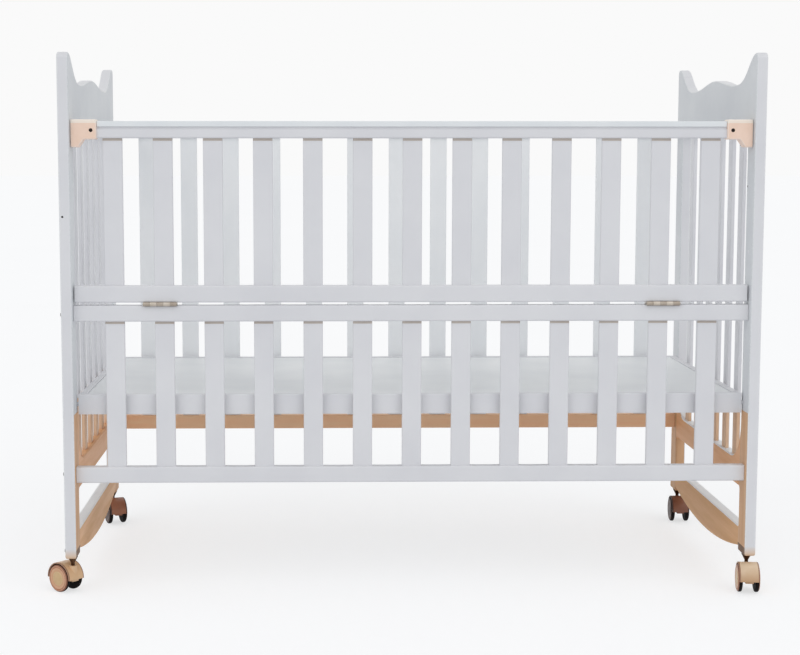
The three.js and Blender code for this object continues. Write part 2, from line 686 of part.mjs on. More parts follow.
// A rim board's section: a rectangle with the rebate for the panel in its upper inner corner.
// The first coordinate runs from the outer face inwards, times the way inwards.
function rimSection(outerFace, inwards) {
  const low = BASE_TOP - BASE_HEIGHT;
  const ledge = BASE_TOP - BASE_PANEL_DROP - BASE_PANEL_THICKNESS - SEAT_GAP;
  return new THREE.Shape(
    [
      [0, low],
      [BASE_RIM, low],
      [BASE_RIM, ledge],
      [BASE_RIM - BASE_REBATE, ledge],
      [BASE_RIM - BASE_REBATE, BASE_TOP],
      [BASE_EDGE, BASE_TOP],
      [0, BASE_TOP - BASE_EDGE],
    ].map(([u, v]) => new THREE.Vector2(outerFace + inwards * u, v)),
  );
}

function makeBase() {
  const baseHalfLength = postInnerX - BASE_END_GAP;
  const longBoard = extrude(rimSection(baseHalfDepth, -1), "x", [-baseHalfLength, baseHalfLength]);
  const peg = (mirror) => {
    const ends = [mirror * (baseHalfLength - PEG_ROOT), mirror * (postInnerX + PEG_REACH)];
    return rod(PEG_RADIUS, ends.sort((a, b) => a - b), pegY, pegZ);
  };
  const pegged = join([longBoard, peg(-1), peg(1)]);
  for (const [depth, mirrorY] of DEPTHS) {
    add(`base_rim_${depth}`, pegged, WHITE_PAINT, 1, mirrorY);
  }
  const sideHalf = baseHalfDepth - BASE_RIM - SEAT_GAP;
  const side = extrude(rimSection(baseHalfLength, -1), "y", [-sideHalf, sideHalf]);
  for (const [name, mirrorX] of SIDES) {
    add(`base_rim_${name}`, side, WHITE_PAINT, mirrorX);
  }
  const reach = BASE_RIM - BASE_REBATE + SEAT_GAP;
  const panelTop = BASE_TOP - BASE_PANEL_DROP;
  const panel = block(
    [reach - baseHalfLength, baseHalfLength - reach],
    [reach - baseHalfDepth, baseHalfDepth - reach],
    [panelTop - BASE_PANEL_THICKNESS, panelTop],
  );
  add("base_panel", panel, WHITE_PAINT);
}

// Casters

// One wheel, outwards along +X, with a blind hole for the axle
function wheelSolid() {
  const bore = AXLE_RADIUS + PIN_GAP;
  const boreEnd = AXLE_HALF_LENGTH + AXLE_END_GAP;
  const profile = [
    [0, boreEnd],
    [bore, boreEnd],
    [bore, WHEEL_INNER_FACE],
    [WHEEL_RADIUS - WHEEL_SHOULDER, WHEEL_INNER_FACE],
    [WHEEL_RADIUS, WHEEL_INNER_FACE + WHEEL_SHOULDER],
    [WHEEL_RADIUS, WHEEL_OUTER_FACE - DISC_DISH - WHEEL_SHOULDER],
    [DISC_RIM_RADIUS, WHEEL_OUTER_FACE - DISC_DISH],
    [HUBCAP_RADIUS, WHEEL_OUTER_FACE],
    [0, WHEEL_OUTER_FACE],
  ];
  const geometry = geometryFrom(turned(profile, WHEEL_SIDES));
  geometry.rotateZ(Math.PI / WHEEL_SIDES);
  geometry.rotateY(Math.PI / 2);
  return geometry;
}

// The hood over the wheels, the web that holds the axle and the boss for the stem.
// The stem stands at the group's origin, and the axle lies at +Y from it.
function casterBody() {
  const inner = new THREE.Shape();
  inner.absarc(CASTER_TRAIL, axleZ, HOOD_OUTER_RADIUS, 0, 2 * Math.PI);
  const hole = new THREE.Shape();
  hole.absarc(CASTER_TRAIL, axleZ, HOOD_INNER_RADIUS, 0, 2 * Math.PI);
  const across = [-HOOD_HALF_WIDTH, HOOD_HALF_WIDTH];
  const acrossOver = [-HOOD_HALF_WIDTH - OVERRUN, HOOD_HALF_WIDTH + OVERRUN];
  const reach = HOOD_OUTER_RADIUS + OVERRUN;
  const around = [CASTER_TRAIL - reach, CASTER_TRAIL + reach];
  const roundSteps = WHEEL_SIDES;
  const drum = extrude(inner, "x", across, 0, roundSteps);
  const hollow = extrude(hole, "x", acrossOver, 0, roundSteps);
  const web = hollow.intersect(
    block([-WEB_HALF_WIDTH, WEB_HALF_WIDTH], around, [WEB_BOTTOM, axleZ + reach]),
  );
  const hood = cut(drum, [hollow, block(acrossOver, around, [axleZ - reach, HOOD_LIP])]);
  const boss = post(BOSS_RADIUS, 0, 0, [axleZ, BOSS_TOP]);
  return cut(join([hood, web, boss.subtract(wheelRoom(-1)).subtract(wheelRoom(1))]), [
    post(STEM_RADIUS + PIN_GAP, 0, 0, [STEM_CONE_LOW - STEM_BELOW_CONE - SEAT_GAP, BOSS_TOP + OVERRUN]),
    rod(AXLE_RADIUS + PIN_GAP, acrossOver, CASTER_TRAIL, axleZ),
  ]);
}

// The space that a wheel turns in
function wheelRoom(side) {
  const ends = [side * WEB_HALF_WIDTH, side * (HOOD_HALF_WIDTH + OVERRUN)];
  const shape = new THREE.Shape();
  shape.absarc(CASTER_TRAIL, axleZ, HOOD_INNER_RADIUS, 0, 2 * Math.PI);
  return extrude(shape, "x", ends.sort((a, b) => a - b), 0, WHEEL_SIDES);
}

function casterStem() {
  const low = STEM_CONE_LOW - STEM_BELOW_CONE;
  const collar = LEG_BOTTOM - SEAT_GAP;
  const profile = [
    [0, low],
    [STEM_RADIUS, low],
    [STEM_RADIUS, STEM_CONE_LOW],
    [STEM_CONE_RADIUS, collar],
    [STEM_RADIUS, collar],
    [STEM_RADIUS, LEG_BOTTOM + STEM_IN_LEG],
    [0, LEG_BOTTOM + STEM_IN_LEG],
  ];
  return turned(profile, PIN_SIDES);
}

function makeCasters() {
  const body = casterBody();
  const stem = casterStem();
  const axleEnds = [-AXLE_HALF_LENGTH, AXLE_HALF_LENGTH];
  const axle = rod(AXLE_RADIUS, axleEnds, CASTER_TRAIL, axleZ);
  for (const [depth, mirrorY] of DEPTHS) {
    for (const [side, mirrorX] of SIDES) {
      const corner = `${depth}_${side}`;
      const group = new THREE.Group();
      group.position.set(mirrorX * endMiddleX, mirrorY * stemY, 0);
      group.rotation.z = THREE.MathUtils.degToRad(CASTER_TURNS[corner]);
      add(`caster_hood_${corner}`, body, BEIGE_PLASTIC, 1, 1, group);
      add(`caster_stem_${corner}`, stem, DARK_STEEL, 1, 1, group);
      add(`caster_axle_${corner}`, axle, DARK_STEEL, 1, 1, group);
      for (const [letter, direction] of WHEELS) {
        const wheel = new THREE.Mesh(wheelSolid(), BLACK_RUBBER);
        wheel.name = `caster_wheel_${corner}_${letter}`;
        wheel.position.set(0, CASTER_TRAIL, axleZ);
        wheel.scale.x = direction;
        group.add(wheel);
      }
      crib.add(group);
    }
  }
}

makeEnds();
makeFixedPanels();
makeGate();
makeLatches();
makeHinges();
makeBase();
makeCasters();

// The origin lies under the middle of the whole, as its casters stand, to the millimetre
const box = new THREE.Box3().setFromObject(crib);
const middle = box.getCenter(new THREE.Vector3());
crib.position.set(-Math.round(middle.x), -Math.round(middle.y), 0);

export default crib;
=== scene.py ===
"""The looks of a convertible crib: painted ends with horned tops, slatted sides, a folding gate,
peach latches, brass hinges and twin-wheel casters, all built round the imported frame."""
import json
import math

import bmesh
import bpy
from mathutils import Matrix, Vector
from mathutils.geometry import tessellate_polygon


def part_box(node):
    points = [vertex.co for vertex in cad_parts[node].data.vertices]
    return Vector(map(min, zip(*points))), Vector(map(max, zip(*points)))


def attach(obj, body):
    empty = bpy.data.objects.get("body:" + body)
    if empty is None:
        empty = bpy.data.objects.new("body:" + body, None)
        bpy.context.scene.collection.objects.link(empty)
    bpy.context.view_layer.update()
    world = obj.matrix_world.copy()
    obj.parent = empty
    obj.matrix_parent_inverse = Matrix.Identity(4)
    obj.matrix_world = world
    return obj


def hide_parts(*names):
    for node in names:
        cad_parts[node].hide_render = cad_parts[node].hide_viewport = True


MM = 0.001
QUARTER = math.pi / 2
FULL_TURN = 2 * math.pi

# Ends: posts, shaped board, bottom rail and rocker, all drawn in one plane
HORN_RADIUS = 11 * MM
HORN_RISE_POWER = 1.6
TROUGH_REACH = 161 * MM
TROUGH_DROP = 50.5 * MM
CENTRE_DROP = 36 * MM
FOOT_RADIUS = 4 * MM
END_BOARD_BOTTOM = 826 * MM
END_BOARD_RADIUS = 6 * MM
END_RAIL_TOP = 231 * MM
END_RAIL_BOTTOM = 184 * MM
END_RAIL_UPPER_FILLET = 72 * MM
END_RAIL_LOWER_FILLET = 6 * MM
ROCKER_TOP = 111 * MM
ROCKER_LOWEST = 48 * MM
ROCKER_RADIUS = 1360 * MM
END_EDGE = 3 * MM
SEAM = 0.15 * MM
BOARD_SEAM = 0.45 * MM
PROFILE_STEPS = 64
ROCKER_STEPS = 32
ARC_STEPS = 8
CORNER_STEPS = 4
EASE_STEPS = 4

# Rails, drawn across their run
RAIL_EDGE = 3 * MM
RAIL_END_EDGE = 0.6 * MM
GATE_NECK_LOW = 829.6 * MM
GATE_NECK_INSET = 2.5 * MM
COVER_WALL = 2.2 * MM
COVER_EDGE = 2.4 * MM

# Slats
SLAT_COUNT = 13
SLAT_PITCH = 87.9 * MM
SLAT_WIDTH = 34.5 * MM
SLAT_THICKNESS = 9 * MM
SLAT_EDGE = 2 * MM
SLAT_IN_RAIL = 4 * MM
END_SLAT_COUNT = 6
END_SLAT_PITCH = 80 * MM
END_SLAT_WIDTH = 28 * MM
END_SLAT_THICKNESS = 7.5 * MM
END_SLAT_EDGE = 1.6 * MM

# The level where the white paint of the ends stops, and the levels of the feet's tones: worn paint and
# painted shade
TONE_HEIGHT = 342 * MM
POST_TONE_HEIGHT = 326 * MM
FOOT_WORN_TOP = 84 * MM
FOOT_SHADE_TOP = 81 * MM

# The painted shade line under the rail at the top of the front slats
SHADE_LINE_DEPTH = 4.4 * MM

# Softened edges of the pieces that keep the shape of their solids
BASE_EDGE = 1.4 * MM
PANEL_EDGE = 0.7 * MM
BOLT_EDGE = 0.6 * MM
SOFT_STEPS = 3
SOFT_ROUND_SHARE = 0.5

# Latches
HOUSING_CORNER = 3 * MM
HOUSING_EDGE = 2.2 * MM
LOBE_SLOPE = 10 * MM
LOBE_LENGTH = 13 * MM
LOBE_RISE = 14 * MM
# The top of each latch cover is lighter, as painted light
LATCH_LIT_TOP_HEIGHT = 6.5 * MM
BOLT_HOLE_RADIUS = 3.4 * MM
BOLT_TRAVEL = 8 * MM
TAB_FROM_TAIL = 1 * MM
TAB_WIDTH = 4 * MM
TAB_HEIGHT = 4 * MM
BOLT_GAP = 0.3 * MM
LATCH_SCREW_FROM_POST = 36.4 * MM
LATCH_SCREW_HEIGHT = 828 * MM
LATCH_SCREW_RADIUS = 3.4 * MM
LATCH_SCREW_PROUD = 0.8 * MM
HEAD_SIDES = 18
DOME_STEPS = 6
SOCKET_SHARES = ((0.44, 0.93), (0.4, 0.5), (0, 0.42))

# Bolts of the ends and caps of the holes for other heights of the base
BOLT_HEAD_RADIUS = 6.5 * MM
BOLT_HEAD_PROUD = 4.2 * MM
BOLT_HEIGHTS = (76 * MM, 216 * MM, 503 * MM)
CAP_RADIUS = 4 * MM
CAP_PROUD = 0.7 * MM
CAP_HEIGHTS = (497 * MM, 613 * MM, 729 * MM)
CAP_FROM_FRONT = 27 * MM

# Small dark pins in the front posts
PIN_RADIUS = 1.9 * MM
PIN_PROUD = 0.3 * MM
LEFT_PIN = (-614 * MM, 677 * MM)
RIGHT_PIN = (-276 * MM, 729 * MM)

# Casters
TREAD_CORNER = 2.6 * MM
WHEEL_INNER_FACE = 11.2 * MM
WHEEL_OUTER_FACE = 20 * MM
DISC_RADIUS = 22.6 * MM
RING_RADIUS = 20.4 * MM
RING_WIDTH = 0.9 * MM
RING_DEPTH = 0.8 * MM
RING_INNER_RADIUS = 19 * MM
HUB_RADIUS = 13 * MM
HUB_TOP_RADIUS = 11.6 * MM
HUB_RISE = 0.7 * MM
DISC_DROP = 1.1 * MM
WHEEL_BORE = 2.9 * MM
BORE_END = 18 * MM
HOOD_INNER_RADIUS = 26.6 * MM
HOOD_OUTER_RADIUS = 29 * MM
HOOD_HALF_WIDTH = 18 * MM
HOOD_LIP = 24 * MM
HOOD_SIDE_BAND = 2.4 * MM
HOOD_EDGE = 0.9 * MM
WEB_HALF_WIDTH = 7.2 * MM
WEB_BOTTOM = 20.5 * MM
BOSS_RADIUS = 7.2 * MM
BOSS_LOW = 30 * MM
BOSS_TOP = 49 * MM
BOSS_EDGE = 0.8 * MM
BOSS_RIM_WEAR_AND_HIGHLIGHT = 0.6
STEM_RADIUS = 3.4 * MM
STEM_LOW = 41.5 * MM
STEM_HIGH = 96 * MM
CONE_LOW = 54 * MM
CONE_TOP = 65.6 * MM
CONE_RADIUS = 9 * MM
WEB_EDGE = 0.2 * MM
ROUND_SIDES = 48

# Meshes and reliefs
MERGE_DISTANCE = 0.001 * MM
PEEL_DEPTH = 0.2 * MM
GRAIN_DEPTH = 0.15 * MM
GRAIN_RELIEF = 0.18
STREAK_SCALE = 46.0
PORE_SCALE = 310.0

# Camera, lights and floor
CAMERA_PLACE = (-0.1511, -3.2393, 0.7845)
CAMERA_TILT = 0.10695
CAMERA_TURN = -0.01874
CAMERA_LENS = 75.09
CAMERA_SHIFT = (0.0621, 0.0085)
SENSOR_WIDTH = 36
FLOOR_REACH = (-60, 60)
LAMP_HEIGHT_ANGLE = math.radians(38)
LAMP_SIDE_ANGLE = math.radians(40)
LAMP_SOFTNESS = math.radians(45)
LAMP_STRENGTH = 0.45
SKY_STRENGTH = 0.62
FLOOR_GLOW_SHARE = 0.58
FLOOR_GLOW = 1.117

# Finishes, as sRGB; a coat's third tone is its lighter rim along rounded edges, a painted highlight with a
# little wear
PAINT = ("e4e4e7", "dedee2", "eef0f1")
SHADED_INNER_TONES = ("dadde0", "d4d7db", "e6e8ea")
LIT_WHITE_TONES = ("f8f9fa", "f2f4f6", "fcfcfd")
LIT_TOP_TONES = ("f1f3f4", "ebedef", "f6f7f8")
SHADE_LINE_TONES = ("c8beb5", "bdb2a9", "d2c8bf")
FOOT_TINT = "ddba96"
POST_WOOD = ("e5bb92", "ce9d73")
RAIL_WOOD = ("fbc290", "e6a975")
ROCKER_WOOD = ("ecb985", "d5a06a")
SLAT_WOOD = ("f3d0b0", "e2b894")
LIT_BACK_WOOD = ("ffd6ae", "ffc79b")
FOOT_SHADE_WOOD = ("7f5f45", "6b4c36")
COVER_TONES = ("eceff1", "e6eaed", "f6f7f8")
PEACH = ("faddca", "f5d5c0", "fdeee3")
PEACH_LIT_TOP = ("fdf1e4", "faebdc", "fff8f0")
# One hood plastic, lighter at the front right and darker at the back, as painted light and shade
HOOD_TONES_LIT_AND_SHADED = {
    "front_left": ("e2bc92", "d8b087", "ebcdaa"),
    "front_right": ("e8cfb2", "dfc3a2", "f0dcc4"),
    "back_left": ("a96f52", "9a6348", "bb866b"),
    "back_right": ("8b5942", "7c4d39", "a0705a"),
}
HOOD_LOW_SHADE = "c29a74"
HOOD_SIDE_SHADE = ("a37a60", "966e55", "b88f74")
HOOD_LIP_SHADE = ("5a3a2a", "4f3224", "704c39")
HUB_TONES = ("d6b587", "cdab7c", "e2c69e")
DISC_TAN = ("d6a47c", "cb9870", "e0b493")
DISC_RIM = ("c58f70", "b98364", "d3a489")
DISC_OUTLINE = ("8f5c42", "82523a", "a5745a")
# Painted shade: the back wheels are darker than the front ones
SHADED_DISC_TONES = ("3a2018", "432a20", "654538")
RUBBER = ("0c0606", "130a09", "2a1513")
HINGE_UPPER_LIT = ("cbc2b7", "beb4a7", "dad3ca")
HINGE_LOWER_SHADED = ("b5ab9f", "a3978b", "c6bdb3")
STEEL_TONES = ("36302e", "2a2523", "6d655f")
STEM_SHADE_TONES = ("5a4231", "4c3627", "755b48")
FLOOR_TONE = "f7f8fb"
FLOOR_CLOUD = "f9fafd"
SKY_TONE = "f9fbfc"
BACKDROP_TONE = "fafafa"

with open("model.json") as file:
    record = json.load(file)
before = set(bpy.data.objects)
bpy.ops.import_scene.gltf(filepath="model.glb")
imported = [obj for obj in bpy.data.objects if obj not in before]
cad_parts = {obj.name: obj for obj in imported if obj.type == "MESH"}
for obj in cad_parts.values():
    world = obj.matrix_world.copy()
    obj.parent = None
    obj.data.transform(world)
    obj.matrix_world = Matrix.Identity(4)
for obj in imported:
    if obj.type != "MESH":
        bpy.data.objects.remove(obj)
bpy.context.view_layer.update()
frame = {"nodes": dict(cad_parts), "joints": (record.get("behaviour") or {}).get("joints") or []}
PIVOTS = {joint["name"]: Vector(joint["pos_m"]) for joint in frame["joints"] if "pos_m" in joint}

SIDES = (("left", -1), ("right", 1))
DEPTHS = (("front", -1), ("back", 1))

PANEL_LOW, PANEL_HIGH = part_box("base_panel")
MIDDLE = Vector(((PANEL_LOW[0] + PANEL_HIGH[0]) / 2, (PANEL_LOW[1] + PANEL_HIGH[1]) / 2, 0))


def drawn(solid):
    """A CAD node's reach about the middle of the crib, along each axis."""
    low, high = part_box(solid)
    return [(low[k] - MIDDLE[k], high[k] - MIDDLE[k]) for k in range(3)]


POST_X, POST_Y, (LEG_BOTTOM, POST_TOP) = drawn("post_back_right")
AXLE_HEIGHT = PIVOTS["spin_front_left_b"].z
CASTER_TRAIL = (PIVOTS["spin_front_left_b"].xy - PIVOTS["swivel_front_left"].xy).length


# Colours and node helpers


def tone(text):
    """A colour written as six sRGB digits, as linear red, green, blue and alpha."""
    parts = [int(text[k:k + 2], 16) / 255 for k in (0, 2, 4)]
    linear = [p / 12.92 if p <= 0.04045 else ((p + 0.055) / 1.055) ** 2.4 for p in parts]
    return (*linear, 1)


def node(tree, kind, values=None, **settings):
    """A node with its settings, and with the values of its inputs by name or number."""
    made = tree.nodes.new(kind)
    for name, value in settings.items():
        setattr(made, name, value)
    for key, value in (values or {}).items():
        if isinstance(value, bpy.types.NodeSocket):
            tree.links.new(value, made.inputs[key])
        else:
            made.inputs[key].default_value = value
    return made


def new_group(name, inputs, outputs, kind="ShaderNodeTree"):
    """An empty node group with named sockets, and its input and output nodes."""
    tree = bpy.data.node_groups.new(name, kind)
    for way, sockets in (("INPUT", inputs), ("OUTPUT", outputs)):
        for label, socket in sockets.items():
            tree.interface.new_socket(label, in_out=way, socket_type=socket)
    return tree, tree.nodes.new("NodeGroupInput").outputs, tree.nodes.new("NodeGroupOutput").inputs


def send(tree, results, sockets):
    """Links results to sockets by their names."""
    for label, result in results.items():
        tree.links.new(result, sockets[label])


def mix(tree, share, first, second):
    """A mix of two colours by a share from 0 to 1."""
    return node(tree, "ShaderNodeMix", {0: share, 6: first, 7: second}, data_type="RGBA").outputs[2]


def remap(tree, value, low, high, to_low, to_high):
    """A value moved from one range to another, and held inside it."""
    values = {"Value": value, "From Min": low, "From Max": high, "To Min": to_low, "To Max": to_high}
    return node(tree, "ShaderNodeMapRange", values).outputs["Result"]


def noise(tree, place, scale, detail, roughness=0.5, distortion=0.0):
    """Cloudy values from 0 to 1 over a place."""
    values = {"Vector": place, "Scale": scale, "Detail": detail}
    values |= {"Roughness": roughness, "Distortion": distortion}
    return node(tree, "ShaderNodeTexNoise", values).outputs["Fac"]


def calculate(tree, operation, first, second):
    """One step of arithmetic with two values."""
    return node(tree, "ShaderNodeMath", {0: first, 1: second}, operation=operation).outputs[0]


COLOR = "NodeSocketColor"
VALUE = "NodeSocketFloat"
VECTOR = "NodeSocketVector"
SURFACE = {"Color": COLOR, "Roughness": VALUE, "Height": VALUE}
COAT_TONES = {"Color": COLOR, "Shade": COLOR, "Lit And Worn Rim": COLOR}
COAT_SCALES = {"Cloud Scale": VALUE, "Peel Scale": VALUE}
COAT_INPUTS = {"Position": VECTOR, **COAT_TONES, "Edge": VALUE, **COAT_SCALES, "Roughness": VALUE}
GRAIN_TONES = {"Light": COLOR, "Dark": COLOR}
GRAIN_SCALES = {"Streak Scale": VALUE, "Pore Scale": VALUE}
GRAIN_INPUTS = {"Position": VECTOR, "Stretch": VECTOR, **GRAIN_TONES, **GRAIN_SCALES}


def coat_group():
    """Sprayed paint or moulded plastic: clouding, fine peel, and a lighter rim along rounded edges that is
    painted highlight with a little wear.
    """
    tree, given, out = new_group("coat", COAT_INPUTS, SURFACE)
    cloud = noise(tree, given["Position"], given["Cloud Scale"], 4, 0.55)
    peel = noise(tree, given["Position"], given["Peel Scale"], 2)
    cloudy = mix(tree, remap(tree, cloud, 0.35, 0.68, 0, 1), given["Color"], given["Shade"])
    # Painted highlight with a little wear: lighter along rounded edges, where the edge layer is high
    wear_and_highlight_mask = calculate(tree, "MULTIPLY", given["Edge"], remap(tree, peel, 0.4, 0.6, 0.35, 1))
    rough = calculate(tree, "ADD", given["Roughness"], remap(tree, cloud, 0.3, 0.7, -0.05, 0.07))
    worn = mix(tree, wear_and_highlight_mask, cloudy, given["Lit And Worn Rim"])
    send(tree, {"Color": worn, "Roughness": rough, "Height": peel}, out)
    return tree


def grain_group():
    """Planed beech: long streaks along the board, short pores and slow changes of tone."""
    tree, given, out = new_group("grain", GRAIN_INPUTS, SURFACE)
    stretched = {0: given["Position"], 1: given["Stretch"]}
    laid = node(tree, "ShaderNodeVectorMath", stretched, operation="MULTIPLY").outputs[0]
    streak = noise(tree, laid, given["Streak Scale"], 5, 0.6, 0.35)
    pore = noise(tree, laid, given["Pore Scale"], 2)
    streaky = mix(tree, remap(tree, streak, 0.3, 0.72, 0, 1), given["Light"], given["Dark"])
    pored = mix(tree, remap(tree, pore, 0.58, 0.75, 0, 0.35), streaky, given["Dark"])
    rough = remap(tree, streak, 0.3, 0.7, 0.5, 0.64)
    send(tree, {"Color": pored, "Roughness": rough, "Height": pore}, out)
    return tree


COAT = coat_group()
GRAIN = grain_group()


def new_material(name, metallic=0.0, coat=0.0, specular=0.5):
    """A new material with its node tree, its shader and the socket of a face's place."""
    material = bpy.data.materials.new(name)
    material.use_nodes = True
    tree = material.node_tree
    tree.nodes.clear()
    values = {"Metallic": metallic, "Coat Weight": coat, "Specular IOR Level": specular}
    shader = node(tree, "ShaderNodeBsdfPrincipled", values)
    output = node(tree, "ShaderNodeOutputMaterial")
    tree.links.new(shader.outputs["BSDF"], output.inputs["Surface"])
    place = node(tree, "ShaderNodeTexCoord").outputs["Object"]
    return material, tree, shader, place


def join_group(tree, shader, surface, bump, distance):
    """Feeds a group's colour, roughness and height to the shader."""
    color, roughness, height = (surface.outputs[label] for label in SURFACE)
    relief = node(tree, "ShaderNodeBump", {"Height": height, "Strength": bump, "Distance": distance})
    results = {"Base Color": color, "Roughness": roughness, "Normal": relief.outputs["Normal"]}
    send(tree, results, shader.inputs)


def coated(name, tones, roughness, cloud=7.0, peel=420.0, bump=0.12, **looks):
    """Paint, plastic, rubber or metal that clouds a little and is lighter along its rounded edges, a painted
    highlight with a little wear.
    """
    material, tree, shader, place = new_material(name, **looks)
    edge = node(tree, "ShaderNodeAttribute", attribute_name="edge", attribute_type="GEOMETRY")
    values = {"Position": place, "Edge": edge.outputs["Fac"], "Roughness": roughness}
    values |= {"Cloud Scale": cloud, "Peel Scale": peel}
    values |= {label: tone(text) for label, text in zip(COAT_TONES, tones)}
    surface = node(tree, "ShaderNodeGroup", values, node_tree=COAT)
    join_group(tree, shader, surface, bump, PEEL_DEPTH)
    return material


def grained(name, stretch, tones):
    """Natural wood, light and dark, whose grain runs along the axis with the small stretch."""
    material, tree, shader, place = new_material(name, coat=0.06, specular=0.4)
    values = {"Position": place, "Stretch": stretch, "Streak Scale": STREAK_SCALE, "Pore Scale": PORE_SCALE}
    values |= {label: tone(text) for label, text in zip(GRAIN_TONES, tones)}
    surface = node(tree, "ShaderNodeGroup", values, node_tree=GRAIN)
    join_group(tree, shader, surface, GRAIN_RELIEF, GRAIN_DEPTH)
    return material


def wear_and_shade_down(material, tint, high, low):
    """Lets a coat give way to another tone, from a height down to a lower one."""
    tree = material.node_tree
    place = next(made for made in tree.nodes if made.type == "TEX_COORD")
    surface = next(made for made in tree.nodes if made.type == "GROUP")
    height = node(tree, "ShaderNodeSeparateXYZ", {0: place.outputs["Object"]}).outputs["Z"]
    share = remap(tree, height, high, low, 0, 1)
    for label in COAT_TONES:
        before = tuple(surface.inputs[label].default_value)
        tree.links.new(mix(tree, share, before, tone(tint)), surface.inputs[label])


ALONG = 0.06
UPRIGHT = (1, 1, ALONG)
LATCH_LOOK = {"cloud": 30.0, "peel": 900.0}
HOOD_LOOK = {"cloud": 40.0, "peel": 1100.0}
DISC_LOOK = {"cloud": 50.0, "peel": 1100.0}
METAL_LOOK = {"cloud": 70.0, "peel": 1500.0, "metallic": 1.0}
WHITE_PAINT = coated("white paint", PAINT, 0.42, coat=0.05)
# Painted shade: a darker copy of the white paint for the faces that look inwards along the crib
SHADED_INNER_PAINT = coated("white paint with painted shade, inner faces", SHADED_INNER_TONES, 0.42, coat=0.05)
# Painted light: a lighter copy of the white paint for the back slats and the right end rail's top
LIT_WHITE_PAINT = coated("white paint with painted light", LIT_WHITE_TONES, 0.42, coat=0.05)
# Painted light: a lighter copy of the white paint for the base panel and the rockers' tops
LIT_TOP_PAINT = coated("white paint with painted light, top faces", LIT_TOP_TONES, 0.46)
# Painted shade: a darker line on the front slats just under their upper rail
SHADE_LINE_PAINT = coated("painted shade under a rail", SHADE_LINE_TONES, 0.6)
FOOT_PAINT = coated("worn paint at the feet", PAINT, 0.5)
wear_and_shade_down(FOOT_PAINT, FOOT_TINT, FOOT_WORN_TOP, LEG_BOTTOM)
# Painted light: the back rail's wood is lighter than the rest, though it lies under the bed base
LIT_BACK_RAIL_WOOD = grained("natural wood with painted light, back rail", (ALONG, 1, 1), LIT_BACK_WOOD)
END_RAIL_WOOD = grained("natural wood of the end rails", (1, ALONG, 1), RAIL_WOOD)
NATURAL_ROCKER = grained("natural wood of the rockers", (1, ALONG, 1), ROCKER_WOOD)
NATURAL_POST = grained("natural wood of the posts", UPRIGHT, POST_WOOD)
NATURAL_SLAT = grained("natural wood of the end slats", UPRIGHT, SLAT_WOOD)
PAINTED_SHADE_FOOT = grained("natural wood with painted shade at the feet", UPRIGHT, FOOT_SHADE_WOOD)
COVER = coated("cover plastic", COVER_TONES, 0.3, cloud=12.0, bump=0.06)
PEACH_PLASTIC = coated("peach plastic", PEACH, 0.36, **LATCH_LOOK)
LIT_TOP_PLASTIC = coated("painted light on the top of a latch", PEACH_LIT_TOP, 0.36, **LATCH_LOOK)
# Painted shade: the sides of the hoods and the faces under their lips
SIDE_SHADE_PLASTIC = coated("painted shade on the sides of the hoods", HOOD_SIDE_SHADE, 0.36, **HOOD_LOOK)
LIP_SHADE_PLASTIC = coated("painted shade under the lips of the hoods", HOOD_LIP_SHADE, 0.4, **HOOD_LOOK)
HUB_PLASTIC = coated("beige hub plastic", HUB_TONES, 0.3, **DISC_LOOK)
DISC_PLASTIC = coated("tan disc plastic", DISC_TAN, 0.3, **DISC_LOOK)
RIM_PLASTIC = coated("terracotta rim", DISC_RIM, 0.34, **DISC_LOOK)
OUTLINE_PLASTIC = coated("brown outer corner", DISC_OUTLINE, 0.4, cloud=60.0, peel=1100.0)
SHADED_BACK_PLASTIC = coated("plastic with painted shade, back casters", SHADED_DISC_TONES, 0.4, **DISC_LOOK)
TREAD = coated("black rubber", RUBBER, 0.7, cloud=60.0, peel=1400.0, bump=0.3, specular=0.15)
# Painted light and shade: the upper leaves lighter, the lower leaves and pins darker
LIT_UPPER_BRASS = coated("dull brass with painted light, upper leaves", HINGE_UPPER_LIT, 0.36, **METAL_LOOK)
SHADED_LOWER_BRASS = coated("dull brass with painted shade, lower leaves", HINGE_LOWER_SHADED, 0.36, **METAL_LOOK)
# Painted shade: the stems are brown, as the dark shade under the legs
STEM_SHADE_STEEL = coated("steel with painted brown shade", STEM_SHADE_TONES, 0.4, **METAL_LOOK)
STEEL = coated("dark steel", STEEL_TONES, 0.38, **METAL_LOOK)
HOODS = {
    corner: coated(f"hood plastic {corner}".replace("_", " "), tones, 0.34, **HOOD_LOOK)
    for corner, tones in HOOD_TONES_LIT_AND_SHADED.items()
}
# Painted shade: the front right hood darkens towards its lip
wear_and_shade_down(HOODS["front_right"], HOOD_LOW_SHADE, BOSS_TOP, HOOD_LIP)


# Shapes


def arc(centre, radius, start, end, steps=ARC_STEPS):
    """Points along a circular arc, both ends among them."""
    angles = [start + (end - start) * k / steps for k in range(steps + 1)]
    return [Vector((centre[0] + radius * math.cos(a), centre[1] + radius * math.sin(a))) for a in angles]


def rounded(corners, radius):
    """A closed outline whose corners are rounded."""
    points = []
    count = len(corners)
    for k in range(count):
        before, here, after = (Vector(corners[(k + step) % count]) for step in (-1, 0, 1))
        first = (before - here).normalized()
        second = (after - here).normalized()
        half = first.angle(second) / 2
        reach = radius / math.tan(half)
        centre = here + (first + second).normalized() * (radius / math.sin(half))
        start = here + first * reach - centre
        end = here + second * reach - centre
        turn = start.angle_signed(end)
        begin = math.atan2(start.y, start.x)
        points += arc(centre, radius, begin, begin - turn, CORNER_STEPS)
    return points


def left_moves(loop):
    """For each corner, the move that shifts both its edges one unit to their left."""
    moves = []
    for before, here, after in zip(loop[-1:] + loop[:-1], loop, loop[1:] + loop[:1]):
        first = (here - before).normalized()
        second = (after - here).normalized()
        first_left = Vector((-first.y, first.x))
        second_left = Vector((-second.y, second.x))
        moves.append((first_left + second_left) / (1 + first_left.dot(second_left)))
    return moves


